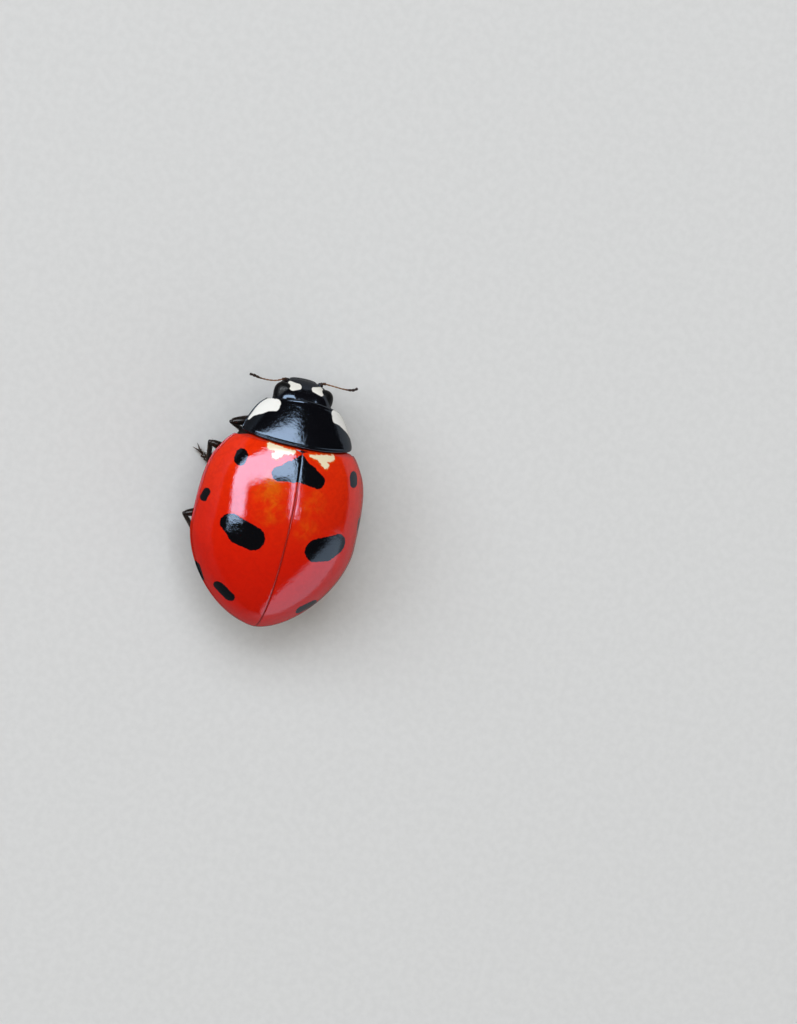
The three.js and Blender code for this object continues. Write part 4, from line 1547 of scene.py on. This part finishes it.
print("legs")
legForms = {form: turnedForm(f"{form}Form", rings, around)
            for form, (around, rings) in legRings.items()}
for legName, legJoints in legs.items():
    nodeStart = legName.replace("Left", "_left").replace("Right", "_right")
    for part, legPiece in makeLeg(legForms, legName, legJoints).items():
        if part == "claws":
            settle(legPiece, clawBrown, "leg")
        else:
            settle(legPiece, legBrown, "leg", f"{nodeStart}_{part}")
for legForm in legForms.values():
    bpy.data.objects.remove(legForm)

print("bristles")
bristleForm = makeBristleForm()
for seed, (legName, legJoints) in enumerate(legs.items()):
    settle(makeBristles(bristleForm, legName + "Bristles", legJoints, seed), bristleBrown, "leg")
bpy.data.objects.remove(bristleForm)

print("studio")
clearSelection()
bpy.ops.mesh.primitive_circle_add(vertices=96, radius=floorLook["radius"], fill_type="NGON",
                                  location=(0, 0, 0))
floor = named("floor")
floor.data.materials.append(makeFloorMaterial())

# what the air around shows to the camera, gives back in reflections, and adds as plain light
air = {"seen": (0.68, 0.68, 0.67), "reflected": (0.012, 0.014, 0.018), "ambient": (0.33, 0.3, 0.27)}


def makeAir():
    world = bpy.data.worlds.new("studioAir")
    bpy.context.scene.world = world
    world.use_nodes = True
    tree = world.node_tree
    ray = tree.nodes.new("ShaderNodeLightPath")
    plain = blend(tree, ray.outputs["Is Glossy Ray"], (*air["ambient"], 1), (*air["reflected"], 1))
    shown = blend(tree, ray.outputs["Is Camera Ray"], plain, (*air["seen"], 1))
    tree.links.new(shown, tree.nodes["Background"].inputs["Color"])


makeAir()

view = {
    "aim": Vector((0, 1.6, 1.5)),      # millimetres, in the body's own place
    "right": Vector((-0.95607, -0.21715, 0.19690)),
    "up": Vector((0.18450, -0.96777, -0.17142)),
    "back": Vector((0.22777, -0.12756, 0.96532)),
    "distance": 100.0,
    "middle": (2.545, 0.102),          # where the picture's middle lies, right and up of the aim
    "lens": 161.72, "sensor": 36, "clip": (0.002, 10),
}


def inFrame(point):
    return bodyOrigin + point * millimetre


cameraPlace = view["aim"] + view["back"] * view["distance"]
target = view["aim"] + view["right"] * view["middle"][0] + view["up"] * view["middle"][1]
backward = (cameraPlace - target).normalized()
rightward = view["up"].cross(backward).normalized()
upward = backward.cross(rightward)
cameraData = bpy.data.cameras.new("camera")
camera = bpy.data.objects.new("camera", cameraData)
bpy.context.scene.collection.objects.link(camera)
camera.matrix_world = Matrix.Translation(inFrame(cameraPlace)) @ Matrix(
    (rightward, upward, backward)).transposed().to_4x4()
cameraData.lens = view["lens"]
cameraData.sensor_width = view["sensor"]
cameraData.clip_start, cameraData.clip_end = view["clip"]
bpy.context.scene.camera = camera

# soft panels: where each lies, seen from the model (right and up, at one unit towards the camera),
# or the way to it and its size; and how bright each is
panels = {
    "sky": {"right": (-1.42, 0.55), "up": (0.29, 0.95), "glow": 4.1, "tint": (0.88, 0.94, 1.0)},
    "sideStrip": {"right": (-1.27, -0.58), "up": (-0.15, 0.29), "glow": 3.8, "tint": (0.88, 0.94, 1.0)},
    "seamStrip": {"right": (0.445, 0.555), "up": (-0.25, 0.29), "glow": 3.8, "tint": (0.88, 0.94, 1.0)},
    "rearSheet": {"toward": Vector((-0.72, 0.68, 0.12)), "size": (1.5, 1.3), "glow": 0.5,
                  "tint": (0.92, 0.98, 1.0)},
}
panelDistance = 420.0


def addPanel(name, panel):
    data = bpy.data.lights.new(name, "AREA")
    if "toward" in panel:
        # low beside the model, facing it
        middle = panel["toward"].normalized()
        data.shape = "ELLIPSE"
        wide, high = panel["size"]
        turn = middle.to_track_quat("Z", "Y").to_matrix()
    else:
        (left, right), (low, high) = panel["right"], panel["up"]
        middle = view["right"] * (left + right) / 2 + view["up"] * (low + high) / 2 + view["back"]
        data.shape = "RECTANGLE"
        wide, high = right - left, high - low
        turn = Matrix((view["right"], view["up"], view["back"])).transposed()
    data.size = wide * panelDistance * millimetre
    data.size_y = high * panelDistance * millimetre
    data.color = panel["tint"]
    data.energy = panel["glow"] * math.pi * data.size * data.size_y
    light = bpy.data.objects.new(name, data)
    bpy.context.scene.collection.objects.link(light)
    place = inFrame(view["aim"] + middle * panelDistance)
    light.matrix_world = Matrix.Translation(place) @ turn.to_4x4()
    light.visible_camera = False


for panelName, panel in panels.items():
    addPanel(panelName, panel)
